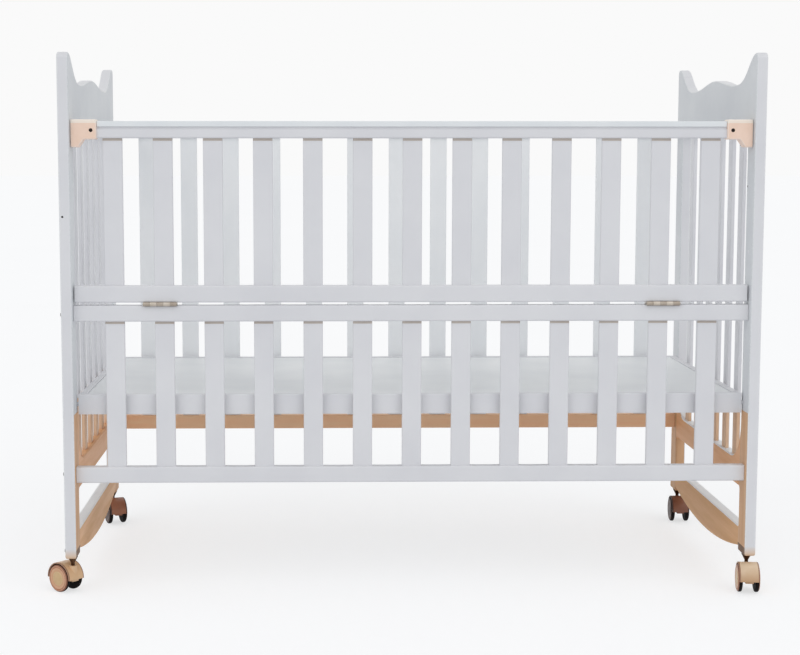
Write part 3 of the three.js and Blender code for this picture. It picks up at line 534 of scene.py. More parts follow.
# From a place on an outline and one along its axis to a place in space
PLANES = {
    "x": lambda u, v, w: Vector((w, u, v)),
    "y": lambda u, v, w: Vector((u, w, v)),
}


def plate(bm, loops, axis, ends, edge):
    """Adds a board drawn as outlines square to an axis, its material to their left, with
    rounded rims at both ends. The layer named edge is 1 in the middle of a rim."""
    rim = bm.verts.layers.float.get("edge") or bm.verts.layers.float.new("edge")
    low, high = ends
    angles = [QUARTER * k / EASE_STEPS for k in range(EASE_STEPS + 1)]
    rows = [(edge * (1 - math.sin(a)), low + edge * (1 - math.cos(a)), math.sin(2 * a)) for a in angles]
    rows += [(inset, low + high - along, worn) for inset, along, worn in reversed(rows)]
    rings = []
    for inset, along, worn in rows:
        ring = []
        for loop in loops:
            made = []
            for point, move in zip(loop, left_moves(loop)):
                place = point + move * inset
                vert = bm.verts.new(PLANES[axis](place.x, place.y, along))
                vert[rim] = worn
                made.append(vert)
            ring.append(made)
        rings.append(ring)
    for here, there in zip(rings, rings[1:]):
        for near, far in zip(here, there):
            for k in range(len(near)):
                after = (k + 1) % len(near)
                bm.faces.new((near[k], near[after], far[after], far[k]))
    for ring in (rings[0], rings[-1]):
        flat = [vert for made in ring for vert in made]
        for triangle in tessellate_polygon([[vert.co for vert in made] for made in ring]):
            bm.faces.new([flat[k] for k in triangle])
    return bm


def rectangle(across, upright):
    """The corners of a rectangle counter-clockwise, from the lowest in both directions."""
    (u0, u1), (v0, v1) = across, upright
    return [Vector((u0, v0)), Vector((u1, v0)), Vector((u1, v1)), Vector((u0, v1))]


def turned(bm, profile, sides=ROUND_SIDES, place=None):
    """Adds a solid turned about Z: the profile is radius and height, from axis to axis."""
    rim = bm.verts.layers.float.get("edge") or bm.verts.layers.float.new("edge")
    rings = []
    for radius, height, *worn in profile:
        count = 1 if radius == 0 else sides
        ring = []
        for k in range(count):
            angle = FULL_TURN * k / sides
            vert = bm.verts.new((radius * math.cos(angle), radius * math.sin(angle), height))
            vert[rim] = worn[0] if worn else 0
            ring.append(vert)
        rings.append(ring)
    for low, high in zip(rings, rings[1:]):
        for k in range(sides):
            after = (k + 1) % sides
            corners = [low[k % len(low)], low[after % len(low)], high[after % len(high)], high[k % len(high)]]
            bm.faces.new(list(dict.fromkeys(corners)))
    if place is not None:
        bmesh.ops.transform(bm, matrix=place, verts=[vert for ring in rings for vert in ring])
    return bm


def cut_away(bm, place, normal):
    """Drops what lies beyond a plane, on the side the normal points to, and closes the cut."""
    geometry = bm.verts[:] + bm.edges[:] + bm.faces[:]
    bmesh.ops.bisect_plane(bm, geom=geometry, plane_co=place, plane_no=normal, clear_outer=True)
    bmesh.ops.holes_fill(bm, edges=[edge for edge in bm.edges if edge.is_boundary], sides=0)


def split_at(bm, level, axis=(0, 0, 1)):
    """Divides the faces at a level, so that each side of it can have its own material."""
    geometry = bm.verts[:] + bm.edges[:] + bm.faces[:]
    bmesh.ops.bisect_plane(bm, geom=geometry, plane_co=Vector(axis) * level, plane_no=axis)


def as_mesh(bm, name):
    """The drawing as a mesh; the drawing goes."""
    mesh = bpy.data.meshes.new(name)
    bm.to_mesh(mesh)
    bm.free()
    return mesh


def added(name, data):
    """A new object of the scene with the given mesh, lamp or camera."""
    made = bpy.data.objects.new(name, data)
    bpy.context.scene.collection.objects.link(made)
    return made


def as_shaped(carrier):
    """The solid that an object's modifiers give, ready for more drawing; the object goes."""
    bpy.context.view_layer.update()
    shaped = carrier.evaluated_get(bpy.context.evaluated_depsgraph_get())
    mesh = bpy.data.meshes.new_from_object(shaped)
    bpy.data.objects.remove(carrier)
    bm = bmesh.new()
    bm.from_mesh(mesh)
    bpy.data.meshes.remove(mesh)
    return bm


def carved(bm, cutter):
    """The solid without what the cutter, another drawn solid, takes out of it."""
    for drawing in (bm, cutter):
        bmesh.ops.recalc_face_normals(drawing, faces=drawing.faces)
    solid = added("solid", as_mesh(bm, "solid"))
    tool = added("cutter", as_mesh(cutter, "cutter"))
    hole = solid.modifiers.new("hole", "BOOLEAN")
    hole.operation = "DIFFERENCE"
    hole.solver = "EXACT"
    hole.object = tool
    shaped = as_shaped(solid)
    bpy.data.objects.remove(tool)
    return shaped


SMOOTH_BELOW = math.radians(38)
FLAT_BELOW = math.radians(1)
UNMOVED = Vector((0, 0, 0))
UPRIGHT_AXIS = Vector((0, 0, 1))


def settle(bm, name, materials, choose, move):
    """Turns the drawn solid into a mesh in the row frame, its faces outwards and, where choose
    is given, each with the material that it tells by the face's middle and normal."""
    bmesh.ops.remove_doubles(bm, verts=bm.verts, dist=MERGE_DISTANCE)
    bmesh.ops.recalc_face_normals(bm, faces=bm.faces)
    bm.normal_update()
    if choose is not None:
        for face in bm.faces:
            face.material_index = choose(face.calc_center_median(), face.normal)
    bmesh.ops.translate(bm, vec=move, verts=bm.verts)
    mesh = as_mesh(bm, name)
    for material in materials:
        mesh.materials.append(material)
    mesh.shade_smooth()
    mesh.set_sharp_from_angle(angle=SMOOTH_BELOW)
    return mesh


def place_piece(name, bm, materials, body, slot, solid=None, choose=None, move=MIDDLE):
    """Makes the drawn solid a piece that rides on its body and stands for its CAD node, if any."""
    piece = added(name, settle(bm, name, materials, choose, move))
    crisp = piece.modifiers.new("even faces", "WEIGHTED_NORMAL")
    crisp.keep_sharp = True
    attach(piece, body)
    if solid is not None:
        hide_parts(solid)


# Ends


def top_drop(y):
    """How far the top of an end lies below the horns, at a place across the crib."""
    reach = abs(y)
    if reach < TROUGH_REACH:
        middle = (TROUGH_DROP + CENTRE_DROP) / 2
        return middle - (TROUGH_DROP - CENTRE_DROP) / 2 * math.cos(math.pi * reach / TROUGH_REACH)
    rise = (reach - TROUGH_REACH) / (POST_Y[1] - HORN_RADIUS - TROUGH_REACH)
    return TROUGH_DROP / 2 * (1 + math.cos(math.pi * rise ** HORN_RISE_POWER))


def end_loops():
    """The outline of an end in Y and Z, and its openings, with the wood to the left of each."""
    crest = POST_Y[1] - HORN_RADIUS
    horn_height = POST_TOP - HORN_RADIUS
    foot = LEG_BOTTOM + FOOT_RADIUS
    inner = POST_Y[0] + FOOT_RADIUS
    outer = POST_Y[1] - FOOT_RADIUS
    half = math.asin(POST_Y[0] / ROCKER_RADIUS)
    outline = arc((-outer, foot), FOOT_RADIUS, 2 * QUARTER, 3 * QUARTER)
    outline += arc((-inner, foot), FOOT_RADIUS, -QUARTER, 0)
    hub = (0, ROCKER_LOWEST + ROCKER_RADIUS)
    outline += arc(hub, ROCKER_RADIUS, -QUARTER - half, half - QUARTER, ROCKER_STEPS)
    outline += arc((inner, foot), FOOT_RADIUS, 2 * QUARTER, 3 * QUARTER)
    outline += arc((outer, foot), FOOT_RADIUS, -QUARTER, 0)
    outline += arc((crest, horn_height), HORN_RADIUS, 0, QUARTER)
    for k in range(1, PROFILE_STEPS):
        y = crest * (1 - 2 * k / PROFILE_STEPS)
        outline.append(Vector((y, POST_TOP - top_drop(y))))
    outline += arc((-crest, horn_height), HORN_RADIUS, QUARTER, 2 * QUARTER)
    openings = [
        (END_RAIL_TOP, END_BOARD_BOTTOM, END_RAIL_UPPER_FILLET, END_BOARD_RADIUS),
        (ROCKER_TOP, END_RAIL_BOTTOM, FOOT_RADIUS, END_RAIL_LOWER_FILLET),
    ]
    loops = [outline]
    for low, high, low_radius, high_radius in openings:
        side_low = POST_Y[0] - low_radius
        side_high = POST_Y[0] - high_radius
        opening = arc((side_low, low + low_radius), low_radius, -QUARTER, 0)
        opening += arc((side_high, high - high_radius), high_radius, 0, QUARTER)
        opening += arc((-side_high, high - high_radius), high_radius, QUARTER, 2 * QUARTER)
        opening += arc((-side_low, low + low_radius), low_radius, 2 * QUARTER, 3 * QUARTER)
        loops.append(opening[::-1])
    return loops


def end_solid(side):
    """One whole end, as drawn, before it is parted into its boards."""
    ends = POST_X if side > 0 else (-POST_X[1], -POST_X[0])
    return plate(bmesh.new(), end_loops(), "x", ends, END_EDGE)


# A face looks along an axis when its normal reaches this far along it
FACING = 0.5

# The places of the finishes in the lists of the posts, of the other boards and of the long slats
PAINTED, NATURAL, WORN, SHADED, SHADED_INNER = 0, 1, 2, 3, 4
LIT = 2
SHADE_LINED = 1


def post_tone(side, depth):
    """White paint, with painted shade on the inner faces above the bed base; natural wood inside under it,
    with painted shade low on the front feet and the very foot worn.
    """

    def choose(place, normal):
        if place.z > POST_TONE_HEIGHT:
            # Painted shade: the inner faces above the bed base take a darker white
            return SHADED_INNER if normal.x * side < -FACING else PAINTED
        if depth < 0 and normal.y < -FACING:
            return PAINTED if place.z > FOOT_WORN_TOP else WORN
        # Painted shade: the inner faces low on the front feet take dark wood
        if depth < 0 and normal.x * side < -FACING and place.z < FOOT_SHADE_TOP:
            return SHADED
        is_outside = normal.x * side > FACING or normal.y * depth > FACING
        return PAINTED if is_outside else NATURAL

    return choose


def rail_tone(side, upper):
    """The boards low in an end: painted outside, natural inside and below, and on top as told."""

    def choose(place, normal):
        if normal.z > FACING:
            return upper
        return PAINTED if normal.x * side > FACING else NATURAL

    return choose


def bolt_mouth(name, side):
    """The place on the inner face of a front post where its latch bolt enters."""
    across = drawn("lower_top_rail")[1]
    upright = drawn(f"latch_bolt_{name}")[2]
    return Vector((side * POST_X[0], sum(across) / 2, sum(upright) / 2))


def bolt_way(mouth, reach):
    """The round way of a latch bolt along X, as far to both sides of its mouth."""
    profile = [(0, -reach), (BOLT_HOLE_RADIUS, -reach), (BOLT_HOLE_RADIUS, reach), (0, reach)]
    laid = Matrix.Translation(mouth) @ Matrix.Rotation(QUARTER, 4, "Y")
    return turned(bmesh.new(), profile, place=laid)


def make_ends():
    """Both ends, each parted into posts, a shaped board, a bottom rail and a rocker."""
    between = (END_BOARD_BOTTOM + END_RAIL_TOP) / 2
    under = (ROCKER_TOP + END_RAIL_BOTTOM) / 2
    post_materials = [WHITE_PAINT, NATURAL_POST, FOOT_PAINT, PAINTED_SHADE_FOOT, SHADED_INNER_PAINT]
    for name, side in SIDES:
        whole = end_solid(side)
        for depth_name, depth in DEPTHS:
            bm = whole.copy()
            cut_away(bm, (0, depth * (POST_Y[0] - SEAM), 0), (0, -depth, 0))
            if depth < 0:
                bm = carved(bm, bolt_way(bolt_mouth(name, side), BOLT_TRAVEL + BOLT_GAP))
            for height in (POST_TONE_HEIGHT, FOOT_SHADE_TOP, FOOT_WORN_TOP):
                split_at(bm, height)
            corner = f"{depth_name}_{name}"
            place_piece(
                f"corner_post_{corner}", bm, post_materials, "frame", "white_paint",
                f"post_{corner}", post_tone(side, depth),
            )
        # Painted light: the right end rail's top takes a lighter white; the left one shows its wood
        ledge = LIT if side > 0 else NATURAL
        # Painted light: the rockers' tops take the lighter white of the base panel
        boards = [
            ("shaped_end_board", "end_board", (between, None), PAINTED, [SHADED_INNER_PAINT]),
            ("end_rail", "end_bottom_rail", (under, between), ledge, [END_RAIL_WOOD, LIT_WHITE_PAINT]),
            ("end_rocker", "rocker", (None, under), LIT, [NATURAL_ROCKER, LIT_TOP_PAINT]),
        ]
        for label, solid, (low, high), upper, more in boards:
            bm = whole.copy()
            for depth in (-1, 1):
                cut_away(bm, (0, depth * (POST_Y[0] - BOARD_SEAM), 0), (0, depth, 0))
            if low is not None:
                cut_away(bm, (0, 0, low), (0, 0, -1))
            if high is not None:
                cut_away(bm, (0, 0, high), (0, 0, 1))
            slot = "white_paint" if solid == "end_board" else "natural_wood"
            place_piece(
                f"{label}_{name}", bm, [WHITE_PAINT, *more], "frame", slot,
                f"{solid}_{name}", rail_tone(side, upper),
            )
        whole.free()


# Rails


def make_rail(solid, body="frame", finish=WHITE_PAINT, slot="white_paint"):
    """A plain rail with rounded long edges."""
    run, across, upright = drawn(solid)
    section = rounded(rectangle(across, upright), RAIL_EDGE)
    bm = plate(bmesh.new(), [section], "x", run, RAIL_END_EDGE)
    place_piece(f"{solid}_board", bm, [finish], body, slot, solid)


def make_gate_top():
    """The gate's top rail, narrower at its top, and the cover strip that sits over it."""
    run, (y0, y1), (z0, z1) = drawn("gate_top_rail")
    neck = GATE_NECK_INSET
    edge = RAIL_EDGE
    section = arc((y0 + edge, z0 + edge), edge, 2 * QUARTER, 3 * QUARTER, CORNER_STEPS)
    section += arc((y1 - edge, z0 + edge), edge, -QUARTER, 0, CORNER_STEPS)
    section += [
        Vector((y1, GATE_NECK_LOW)),
        Vector((y1 - neck, GATE_NECK_LOW)),
        Vector((y1 - neck, z1)),
        Vector((y0 + neck, z1)),
        Vector((y0 + neck, GATE_NECK_LOW)),
        Vector((y0, GATE_NECK_LOW)),
    ]
    bm = plate(bmesh.new(), [section], "x", run, RAIL_END_EDGE)
    place_piece("gate_top_rail_board", bm, [WHITE_PAINT], "gate", "white_paint", "gate_top_rail")

    run, (y0, y1), (low, high) = drawn("gate_rail_cover")
    strip = [Vector((y0, low)), Vector((y0 + COVER_WALL, low))]
    strip += [Vector((y0 + COVER_WALL, z1)), Vector((y1 - COVER_WALL, z1))]
    strip += [Vector((y1 - COVER_WALL, low)), Vector((y1, low))]
    strip += arc((y1 - COVER_EDGE, high - COVER_EDGE), COVER_EDGE, 0, QUARTER, CORNER_STEPS)
    strip += arc((y0 + COVER_EDGE, high - COVER_EDGE), COVER_EDGE, QUARTER, 2 * QUARTER, CORNER_STEPS)
    bm = plate(bmesh.new(), [strip], "x", run, RAIL_END_EDGE)
    place_piece("gate_cover_strip", bm, [COVER], "gate", "cover_plastic", "gate_rail_cover")


# Slats


SHAPE = {"Geometry": "NodeSocketGeometry"}
GIVEN = {**SHAPE, "Material": "NodeSocketMaterial"}
SLAT_SIZES = {"Along X": VALUE, "Along Y": VALUE, "Height": VALUE}
SLAT_ROW = {"Count": "NodeSocketInt", "First": VECTOR, "Step": VECTOR, **SLAT_SIZES, "Edge": VALUE}
HEADS = {"Head": "NodeSocketObject", "Radius": VALUE, "Proud": VALUE, "Turn": "NodeSocketRotation"}


def laid_out(tree, given, out, placing):
    """Ends a tree: instances laid on points, made real and given their material."""
    laid = node(tree, "GeometryNodeInstanceOnPoints", placing).outputs[0]
    real = node(tree, "GeometryNodeRealizeInstances", {"Geometry": laid}).outputs[0]
    finished = node(tree, "GeometryNodeSetMaterial", {"Geometry": real, "Material": given["Material"]})
    send(tree, {"Geometry": finished.outputs[0]}, out)
    return tree


def slat_tree():
    """A row of upright slats with rounded edges: its count, step and sizes are inputs."""
    tree, given, out = new_group("slat row", GIVEN | SLAT_ROW, SHAPE, "GeometryNodeTree")
    sides = {"Width": given["Along X"], "Height": given["Along Y"]}
    section = node(tree, "GeometryNodeCurvePrimitiveQuadrilateral", sides).outputs[0]
    easing = {"Curve": section, "Radius": given["Edge"], "Count": EASE_STEPS}
    eased = node(tree, "GeometryNodeFilletCurve", easing, mode="POLY").outputs[0]
    flat = node(tree, "GeometryNodeFillCurve", {"Curve": eased}, mode="NGONS").outputs[0]
    rise = node(tree, "ShaderNodeCombineXYZ", {"Z": given["Height"]}).outputs[0]
    raising = {"Mesh": flat, "Offset": rise, "Offset Scale": 1.0, "Individual": False}
    upper = node(tree, "GeometryNodeExtrudeMesh", raising).outputs[0]
    under = node(tree, "GeometryNodeFlipFaces", {"Mesh": flat}).outputs[0]
    both = node(tree, "GeometryNodeJoinGeometry")
    for half in (under, upper):
        tree.links.new(half, both.inputs[0])
    merging = {"Geometry": both.outputs[0], "Distance": MERGE_DISTANCE}
    closed = node(tree, "GeometryNodeMergeByDistance", merging).outputs[0]
    line = {"Count": given["Count"], "Start Location": given["First"], "Offset": given["Step"]}
    row = node(tree, "GeometryNodeMeshLine", line, mode="OFFSET").outputs[0]
    return laid_out(tree, given, out, {"Points": row, "Instance": closed})


def grown(tree, name, values, seed_mesh=None):
    """Runs a tree once with its inputs set, and returns the result as a plain mesh."""
    carrier = added(name, seed_mesh or bpy.data.meshes.new(name))
    modifier = carrier.modifiers.new(name, "NODES")
    modifier.node_group = tree
    sockets = {item.name: item.identifier for item in tree.interface.items_tree if item.in_out == "INPUT"}
    for label, value in values.items():
        modifier[sockets[label]] = value
    return as_shaped(carrier)


SLAT_TREE = slat_tree()


def slat_row(solid, paint, count, first, step, sizes, edge):
    """A drawn row of slats, the first one with the middle of its low end at the given place."""
    values = {"Material": paint, "Count": count, "First": first, "Step": step, "Edge": edge}
    return grown(SLAT_TREE, solid, values | dict(zip(SLAT_SIZES, sizes)))


def make_slats(panel, body, paint):
    """A long row of slats between two rails; in front, a line of painted shade runs along the slats' tops
    under the upper rail.
    """
    solid = f"{panel}_slats"
    low = drawn(f"{panel}_bottom_rail")[2][1]
    high = drawn(f"{panel}_top_rail")[2][0]
    y = sum(drawn(solid)[1]) / 2
    shade_line_low = high - SHADE_LINE_DEPTH

    def choose(place, normal):
        return SHADE_LINED if y < 0 and place.z > shade_line_low and normal.y < -FACING else PAINTED

    first = (-SLAT_PITCH * (SLAT_COUNT - 1) / 2, y, low - SLAT_IN_RAIL)
    sizes = (SLAT_WIDTH, SLAT_THICKNESS, high - low + 2 * SLAT_IN_RAIL)
    bm = slat_row(solid, paint, SLAT_COUNT, first, (SLAT_PITCH, 0, 0), sizes, SLAT_EDGE)
    split_at(bm, shade_line_low)
    place_piece(f"{solid}_row", bm, [paint, SHADE_LINE_PAINT], body, "white_paint", solid, choose)


def make_end_slats(name, side):
    """The six slats of an end: painted over the bed base and natural under it."""

    def choose(place, normal):
        return PAINTED if place.z > TONE_HEIGHT or normal.x * side > FACING else NATURAL

    solid = f"end_slats_{name}"
    low = END_RAIL_TOP - SLAT_IN_RAIL
    first = (side * sum(POST_X) / 2, -END_SLAT_PITCH * (END_SLAT_COUNT - 1) / 2, low)
    sizes = (END_SLAT_THICKNESS, END_SLAT_WIDTH, END_BOARD_BOTTOM + SLAT_IN_RAIL - low)
    step = (0, END_SLAT_PITCH, 0)
    bm = slat_row(solid, WHITE_PAINT, END_SLAT_COUNT, first, step, sizes, END_SLAT_EDGE)
    split_at(bm, TONE_HEIGHT)
    place_piece(f"{solid}_row", bm, [WHITE_PAINT, NATURAL_SLAT], "frame", "white_paint", solid, choose)


# Pieces that keep the shape of their solids, with softened edges


def soften(solid, body, finish, slot, edge):
    """A copy of a CAD node, its triangles merged into faces and its sharp edges rounded."""
    bm = bmesh.new()
    bm.from_mesh(frame["nodes"][solid].data)
    bmesh.ops.remove_doubles(bm, verts=bm.verts, dist=MERGE_DISTANCE)
    bmesh.ops.dissolve_limit(
        bm, angle_limit=FLAT_BELOW, verts=bm.verts, edges=bm.edges, use_dissolve_boundaries=False
    )
    sharp = [e for e in bm.edges if len(e.link_faces) == 2 and e.calc_face_angle(0) > SMOOTH_BELOW]
    bmesh.ops.bevel(
        bm, geom=sharp, offset=edge, offset_type="OFFSET", segments=SOFT_STEPS,
        profile=SOFT_ROUND_SHARE, affect="EDGES", clamp_overlap=True,
    )
    place_piece(f"{solid}_soft", bm, [finish], body, slot, solid, move=UNMOVED)


def make_base():
    """The bed base, its rim and its panel."""
    for name in ("front", "back", "left", "right"):
        soften(f"base_rim_{name}", "frame", WHITE_PAINT, "white_paint", BASE_EDGE)
    # The panel takes a lighter white, as painted light
    soften("base_panel", "frame", LIT_TOP_PAINT, "white_paint", PANEL_EDGE)


# Latches and fasteners


def latch_outline(side, run, upright):
    """A latch cover seen from the front, with the lobe that hangs down beside its post."""
    near, far = run if side > 0 else (-run[1], -run[0])
    low, high = upright
    shelf = low + LOBE_RISE
    corners = [
        (near, shelf),
        (far - LOBE_LENGTH - LOBE_SLOPE, shelf),
        (far - LOBE_LENGTH, low),
        (far, low),
        (far, high),
        (near, high),
    ]
    if side < 0:
        corners = [(-x, z) for x, z in reversed(corners)]
    return rounded(corners, HOUSING_CORNER)


def tab_slot(side, tail, mouth, back):
    """The slot in which the tab of a latch bolt slides, from the bolt's axis to the back."""
    start = tail + side * (TAB_FROM_TAIL - BOLT_GAP)
    end = start + side * (TAB_WIDTH + BOLT_TRAVEL + 2 * BOLT_GAP)
    reach = TAB_HEIGHT / 2 + BOLT_GAP
    outline = rectangle(sorted((start, end)), (mouth.z - reach, mouth.z + reach))
    return plate(bmesh.new(), [outline], "y", (mouth.y, back), RAIL_END_EDGE)


def make_latches():
    """The covers at the ends of the gate's top rail, each with its bolt."""
    for name, side in SIDES:
        run, ends, upright = drawn(f"latch_housing_{name}")
        outline = latch_outline(side, run, upright)
        bm = plate(bmesh.new(), [outline], "y", ends, HOUSING_EDGE)
        mouth = bolt_mouth(name, side)
        tail = drawn(f"latch_bolt_{name}")[0][0 if side > 0 else 1]
        bm = carved(bm, bolt_way(mouth, abs(mouth.x - tail) + BOLT_GAP))
        bm = carved(bm, tab_slot(side, tail, mouth, ends[1] + HOUSING_EDGE))
        # Painted light: the top of the cover takes a lighter plastic
        band = upright[1] - LATCH_LIT_TOP_HEIGHT
        split_at(bm, band)
        place_piece(
            f"latch_cover_{name}", bm, [PEACH_PLASTIC, LIT_TOP_PLASTIC], "gate", "peach_plastic",
            f"latch_housing_{name}", lambda place, _: int(place.z > band),
        )
        soften(f"latch_bolt_{name}", f"latch_bolt_{name}", STEEL, "dark_steel", BOLT_EDGE)


def screw_head():
    """A domed head of one unit radius and height on the XY plane, with a round socket."""
    angles = [QUARTER * k / DOME_STEPS for k in range(DOME_STEPS - 1)]
    dome = [(math.cos(a), math.sin(a), 0) for a in angles]
    bm = turned(bmesh.new(), [(0, 0), *dome, *SOCKET_SHARES], HEAD_SIDES)
    bmesh.ops.recalc_face_normals(bm, faces=bm.faces)
    return bpy.data.objects.new("screw head", as_mesh(bm, "screw head"))


def fastener_tree():
    """The same head on each point of a mesh, with its radius, height and turn as inputs."""
    tree, given, out = new_group("fasteners", GIVEN | HEADS, SHAPE, "GeometryNodeTree")
    head = node(tree, "GeometryNodeObjectInfo", {"Object": given["Head"]}).outputs["Geometry"]
    reach = {"X": given["Radius"], "Y": given["Radius"], "Z": given["Proud"]}
    size = node(tree, "ShaderNodeCombineXYZ", reach).outputs[0]
    placing = {"Points": given["Geometry"], "Rotation": given["Turn"]}
    return laid_out(tree, given, out, placing | {"Instance": head, "Scale": size})


SCREW_HEAD = screw_head()
FASTENER_TREE = fastener_tree()


def fasten(name, places, radius, proud, turn, finish, body, slot):
    """Heads at the given places, all turned the same way, as one piece."""
    points = bpy.data.meshes.new(name)
    points.from_pydata(places, [], [])
    values = {"Head": SCREW_HEAD, "Radius": radius, "Proud": proud, "Turn": turn, "Material": finish}
    place_piece(name, grown(FASTENER_TREE, name, values, points), [finish], body, slot)


def make_fasteners():
    """The heads of bolts and screws, the caps of unused holes and the pins of the front posts."""
    rail_y = sum(drawn("lower_top_rail")[1]) / 2
    front = drawn("latch_housing_right")[1][0]
    cap_y = POST_Y[1] - CAP_FROM_FRONT
    facing_front = (QUARTER, 0, 0)
    paint = (WHITE_PAINT, "frame", "white_paint")
    steel = (STEEL, "frame", "dark_steel")
    on_gate = (STEEL, "gate", "dark_steel")
    for name, side in SIDES:
        outwards = (0, side * QUARTER, 0)
        inwards = (0, -side * QUARTER, 0)
        bolts = [(side * POST_X[1], y, z) for z in BOLT_HEIGHTS for y in (rail_y, -rail_y)]
        fasten(f"frame_bolts_{name}", bolts, BOLT_HEAD_RADIUS, BOLT_HEAD_PROUD, outwards, *steel)
        caps = [(side * POST_X[0], y, z) for z in CAP_HEIGHTS for y in (-cap_y, cap_y)]
        fasten(f"hole_caps_{name}", caps, CAP_RADIUS, CAP_PROUD, inwards, *paint)
        screw = [(side * (POST_X[0] - LATCH_SCREW_FROM_POST), front, LATCH_SCREW_HEIGHT)]
        fasten(f"latch_screw_{name}", screw, LATCH_SCREW_RADIUS, LATCH_SCREW_PROUD, facing_front, *on_gate)
    left_pin = [(LEFT_PIN[0], -POST_Y[1], LEFT_PIN[1])]
    fasten("post_pin_left", left_pin, PIN_RADIUS, PIN_PROUD, facing_front, *steel)
    right_pin = [(POST_X[0], *RIGHT_PIN)]
    fasten("post_pin_right", right_pin, PIN_RADIUS, PIN_PROUD, (0, -QUARTER, 0), *steel)


# Casters


def hood_solid():
    """The hood over the wheels, the web between them and the boss, along local X."""
    centre = (CASTER_TRAIL, AXLE_HEIGHT)
    drop = math.asin((HOOD_LIP - AXLE_HEIGHT) / HOOD_OUTER_RADIUS)
    band = arc(centre, HOOD_OUTER_RADIUS, drop, 2 * QUARTER - drop, ROUND_SIDES)
    band += arc(centre, HOOD_INNER_RADIUS, 2 * QUARTER - drop, drop, ROUND_SIDES)
    bm = plate(bmesh.new(), [band], "x", (-HOOD_HALF_WIDTH, HOOD_HALF_WIDTH), HOOD_EDGE)
    # The side bands are parted off for their painted shade
    for level in (HOOD_SIDE_BAND - HOOD_HALF_WIDTH, HOOD_HALF_WIDTH - HOOD_SIDE_BAND):
        split_at(bm, level, (1, 0, 0))
    low = math.asin((WEB_BOTTOM - AXLE_HEIGHT) / HOOD_INNER_RADIUS)
    web = arc(centre, HOOD_INNER_RADIUS, low, 2 * QUARTER - low, ROUND_SIDES)
    plate(bm, [web], "x", (-WEB_HALF_WIDTH, WEB_HALF_WIDTH), WEB_EDGE)
    boss = [(0, BOSS_LOW), (BOSS_RADIUS, BOSS_LOW)]
    for angle in (0, QUARTER / 2, QUARTER):
        inset = BOSS_EDGE * (1 - math.cos(angle))
        below = BOSS_EDGE * (1 - math.sin(angle))
        boss.append((BOSS_RADIUS - inset, BOSS_TOP - below, BOSS_RIM_WEAR_AND_HIGHLIGHT))
    turned(bm, [*boss, (0, BOSS_TOP)])
    return bm


def stem_solid():
    """The swivel pin, with the cone that spreads the load under the leg."""
    profile = [
        (0, STEM_LOW),
        (STEM_RADIUS, STEM_LOW),
        (STEM_RADIUS, CONE_LOW),
        (CONE_RADIUS, CONE_TOP - BOSS_EDGE),
        (CONE_RADIUS, CONE_TOP),
        (STEM_RADIUS, CONE_TOP),
        (STEM_RADIUS, STEM_HIGH),
        (0, STEM_HIGH),
    ]
    return turned(bmesh.new(), profile)


# The places of the finishes in the lists of a hood and of a wheel
HOOD_PART, SIDE_SHADE_PART, LIP_SHADE_PART = 0, 1, 2
TREAD_PART, HUB_PART, DISC_PART, RIM_PART, OUTLINE_PART = 0, 1, 2, 3, 4


def wheel_solid():
    """One wheel turned about Z, outwards along +Z: rubber tread, outer corner, rim, disc and hub."""
    outer = WHEEL_OUTER_FACE - DISC_DROP
    crest = outer + DISC_DROP / 2
    corner = [(1 - math.cos(a), math.sin(a)) for a in (0, QUARTER / 3, 2 * QUARTER / 3, QUARTER)]
    profile = [(0, BORE_END), (WHEEL_BORE, BORE_END), (WHEEL_BORE, WHEEL_INNER_FACE)]
    profile += [
        (AXLE_HEIGHT - TREAD_CORNER * (1 - up), WHEEL_INNER_FACE + TREAD_CORNER * inset)
        for inset, up in corner
    ]
    profile += [
        (AXLE_HEIGHT - TREAD_CORNER * inset, outer - TREAD_CORNER * (1 - up)) for inset, up in corner
    ]
    profile += [
        (DISC_RADIUS, outer),
        (DISC_RADIUS - RING_WIDTH / 2, crest, 1),
        (RING_RADIUS + RING_WIDTH / 2, crest),
        (RING_RADIUS, crest - RING_DEPTH),
        (RING_RADIUS - RING_WIDTH, crest - RING_DEPTH),
        (RING_INNER_RADIUS, crest, 1),
        (HUB_RADIUS, outer),
        (HUB_RADIUS - HUB_RISE / 2, outer + HUB_RISE / 2, 1),
        (HUB_TOP_RADIUS, outer + HUB_RISE),
        (0, WHEEL_OUTER_FACE),
    ]
    return turned(bmesh.new(), profile)


def wheel_tone(place, normal):
    """The part of a wheel by its distance from the axle, while it is still turned about Z."""
    reach = math.hypot(place.x, place.y)
    if place.z < BORE_END - TREAD_CORNER:
        return TREAD_PART
    if reach > DISC_RADIUS:
        return OUTLINE_PART if normal.z > FACING else TREAD_PART
    if reach > RING_INNER_RADIUS:
        return RIM_PART
    return DISC_PART if reach > HUB_RADIUS else HUB_PART


def hood_tone(stem, across):
    """The part of a hood: its side bands and the faces that look down, both painted shade, and the rest of
    it.
    """

    def choose(place, normal):
        if abs((place - stem).dot(across)) > HOOD_HALF_WIDTH - HOOD_SIDE_BAND:
            return SIDE_SHADE_PART
        return LIP_SHADE_PART if normal.z < -FACING else HOOD_PART

    return choose


def make_wheel(name, axle, facing, materials):
    """One wheel of a caster, its disc to the given side."""
    bm = wheel_solid()
    bm.normal_update()
    for face in bm.faces:
        face.material_index = wheel_tone(face.calc_center_median(), face.normal)
    lay = Matrix((UPRIGHT_AXIS.cross(facing), UPRIGHT_AXIS, facing)).transposed().to_4x4()
    hub = Matrix.Translation((axle.x, axle.y, AXLE_HEIGHT)) @ lay
    bmesh.ops.transform(bm, matrix=hub, verts=bm.verts)
    place_piece(
        f"twin_wheel_{name}", bm, materials, f"wheel_{name}", "tread",
        f"caster_wheel_{name}", move=UNMOVED,
    )


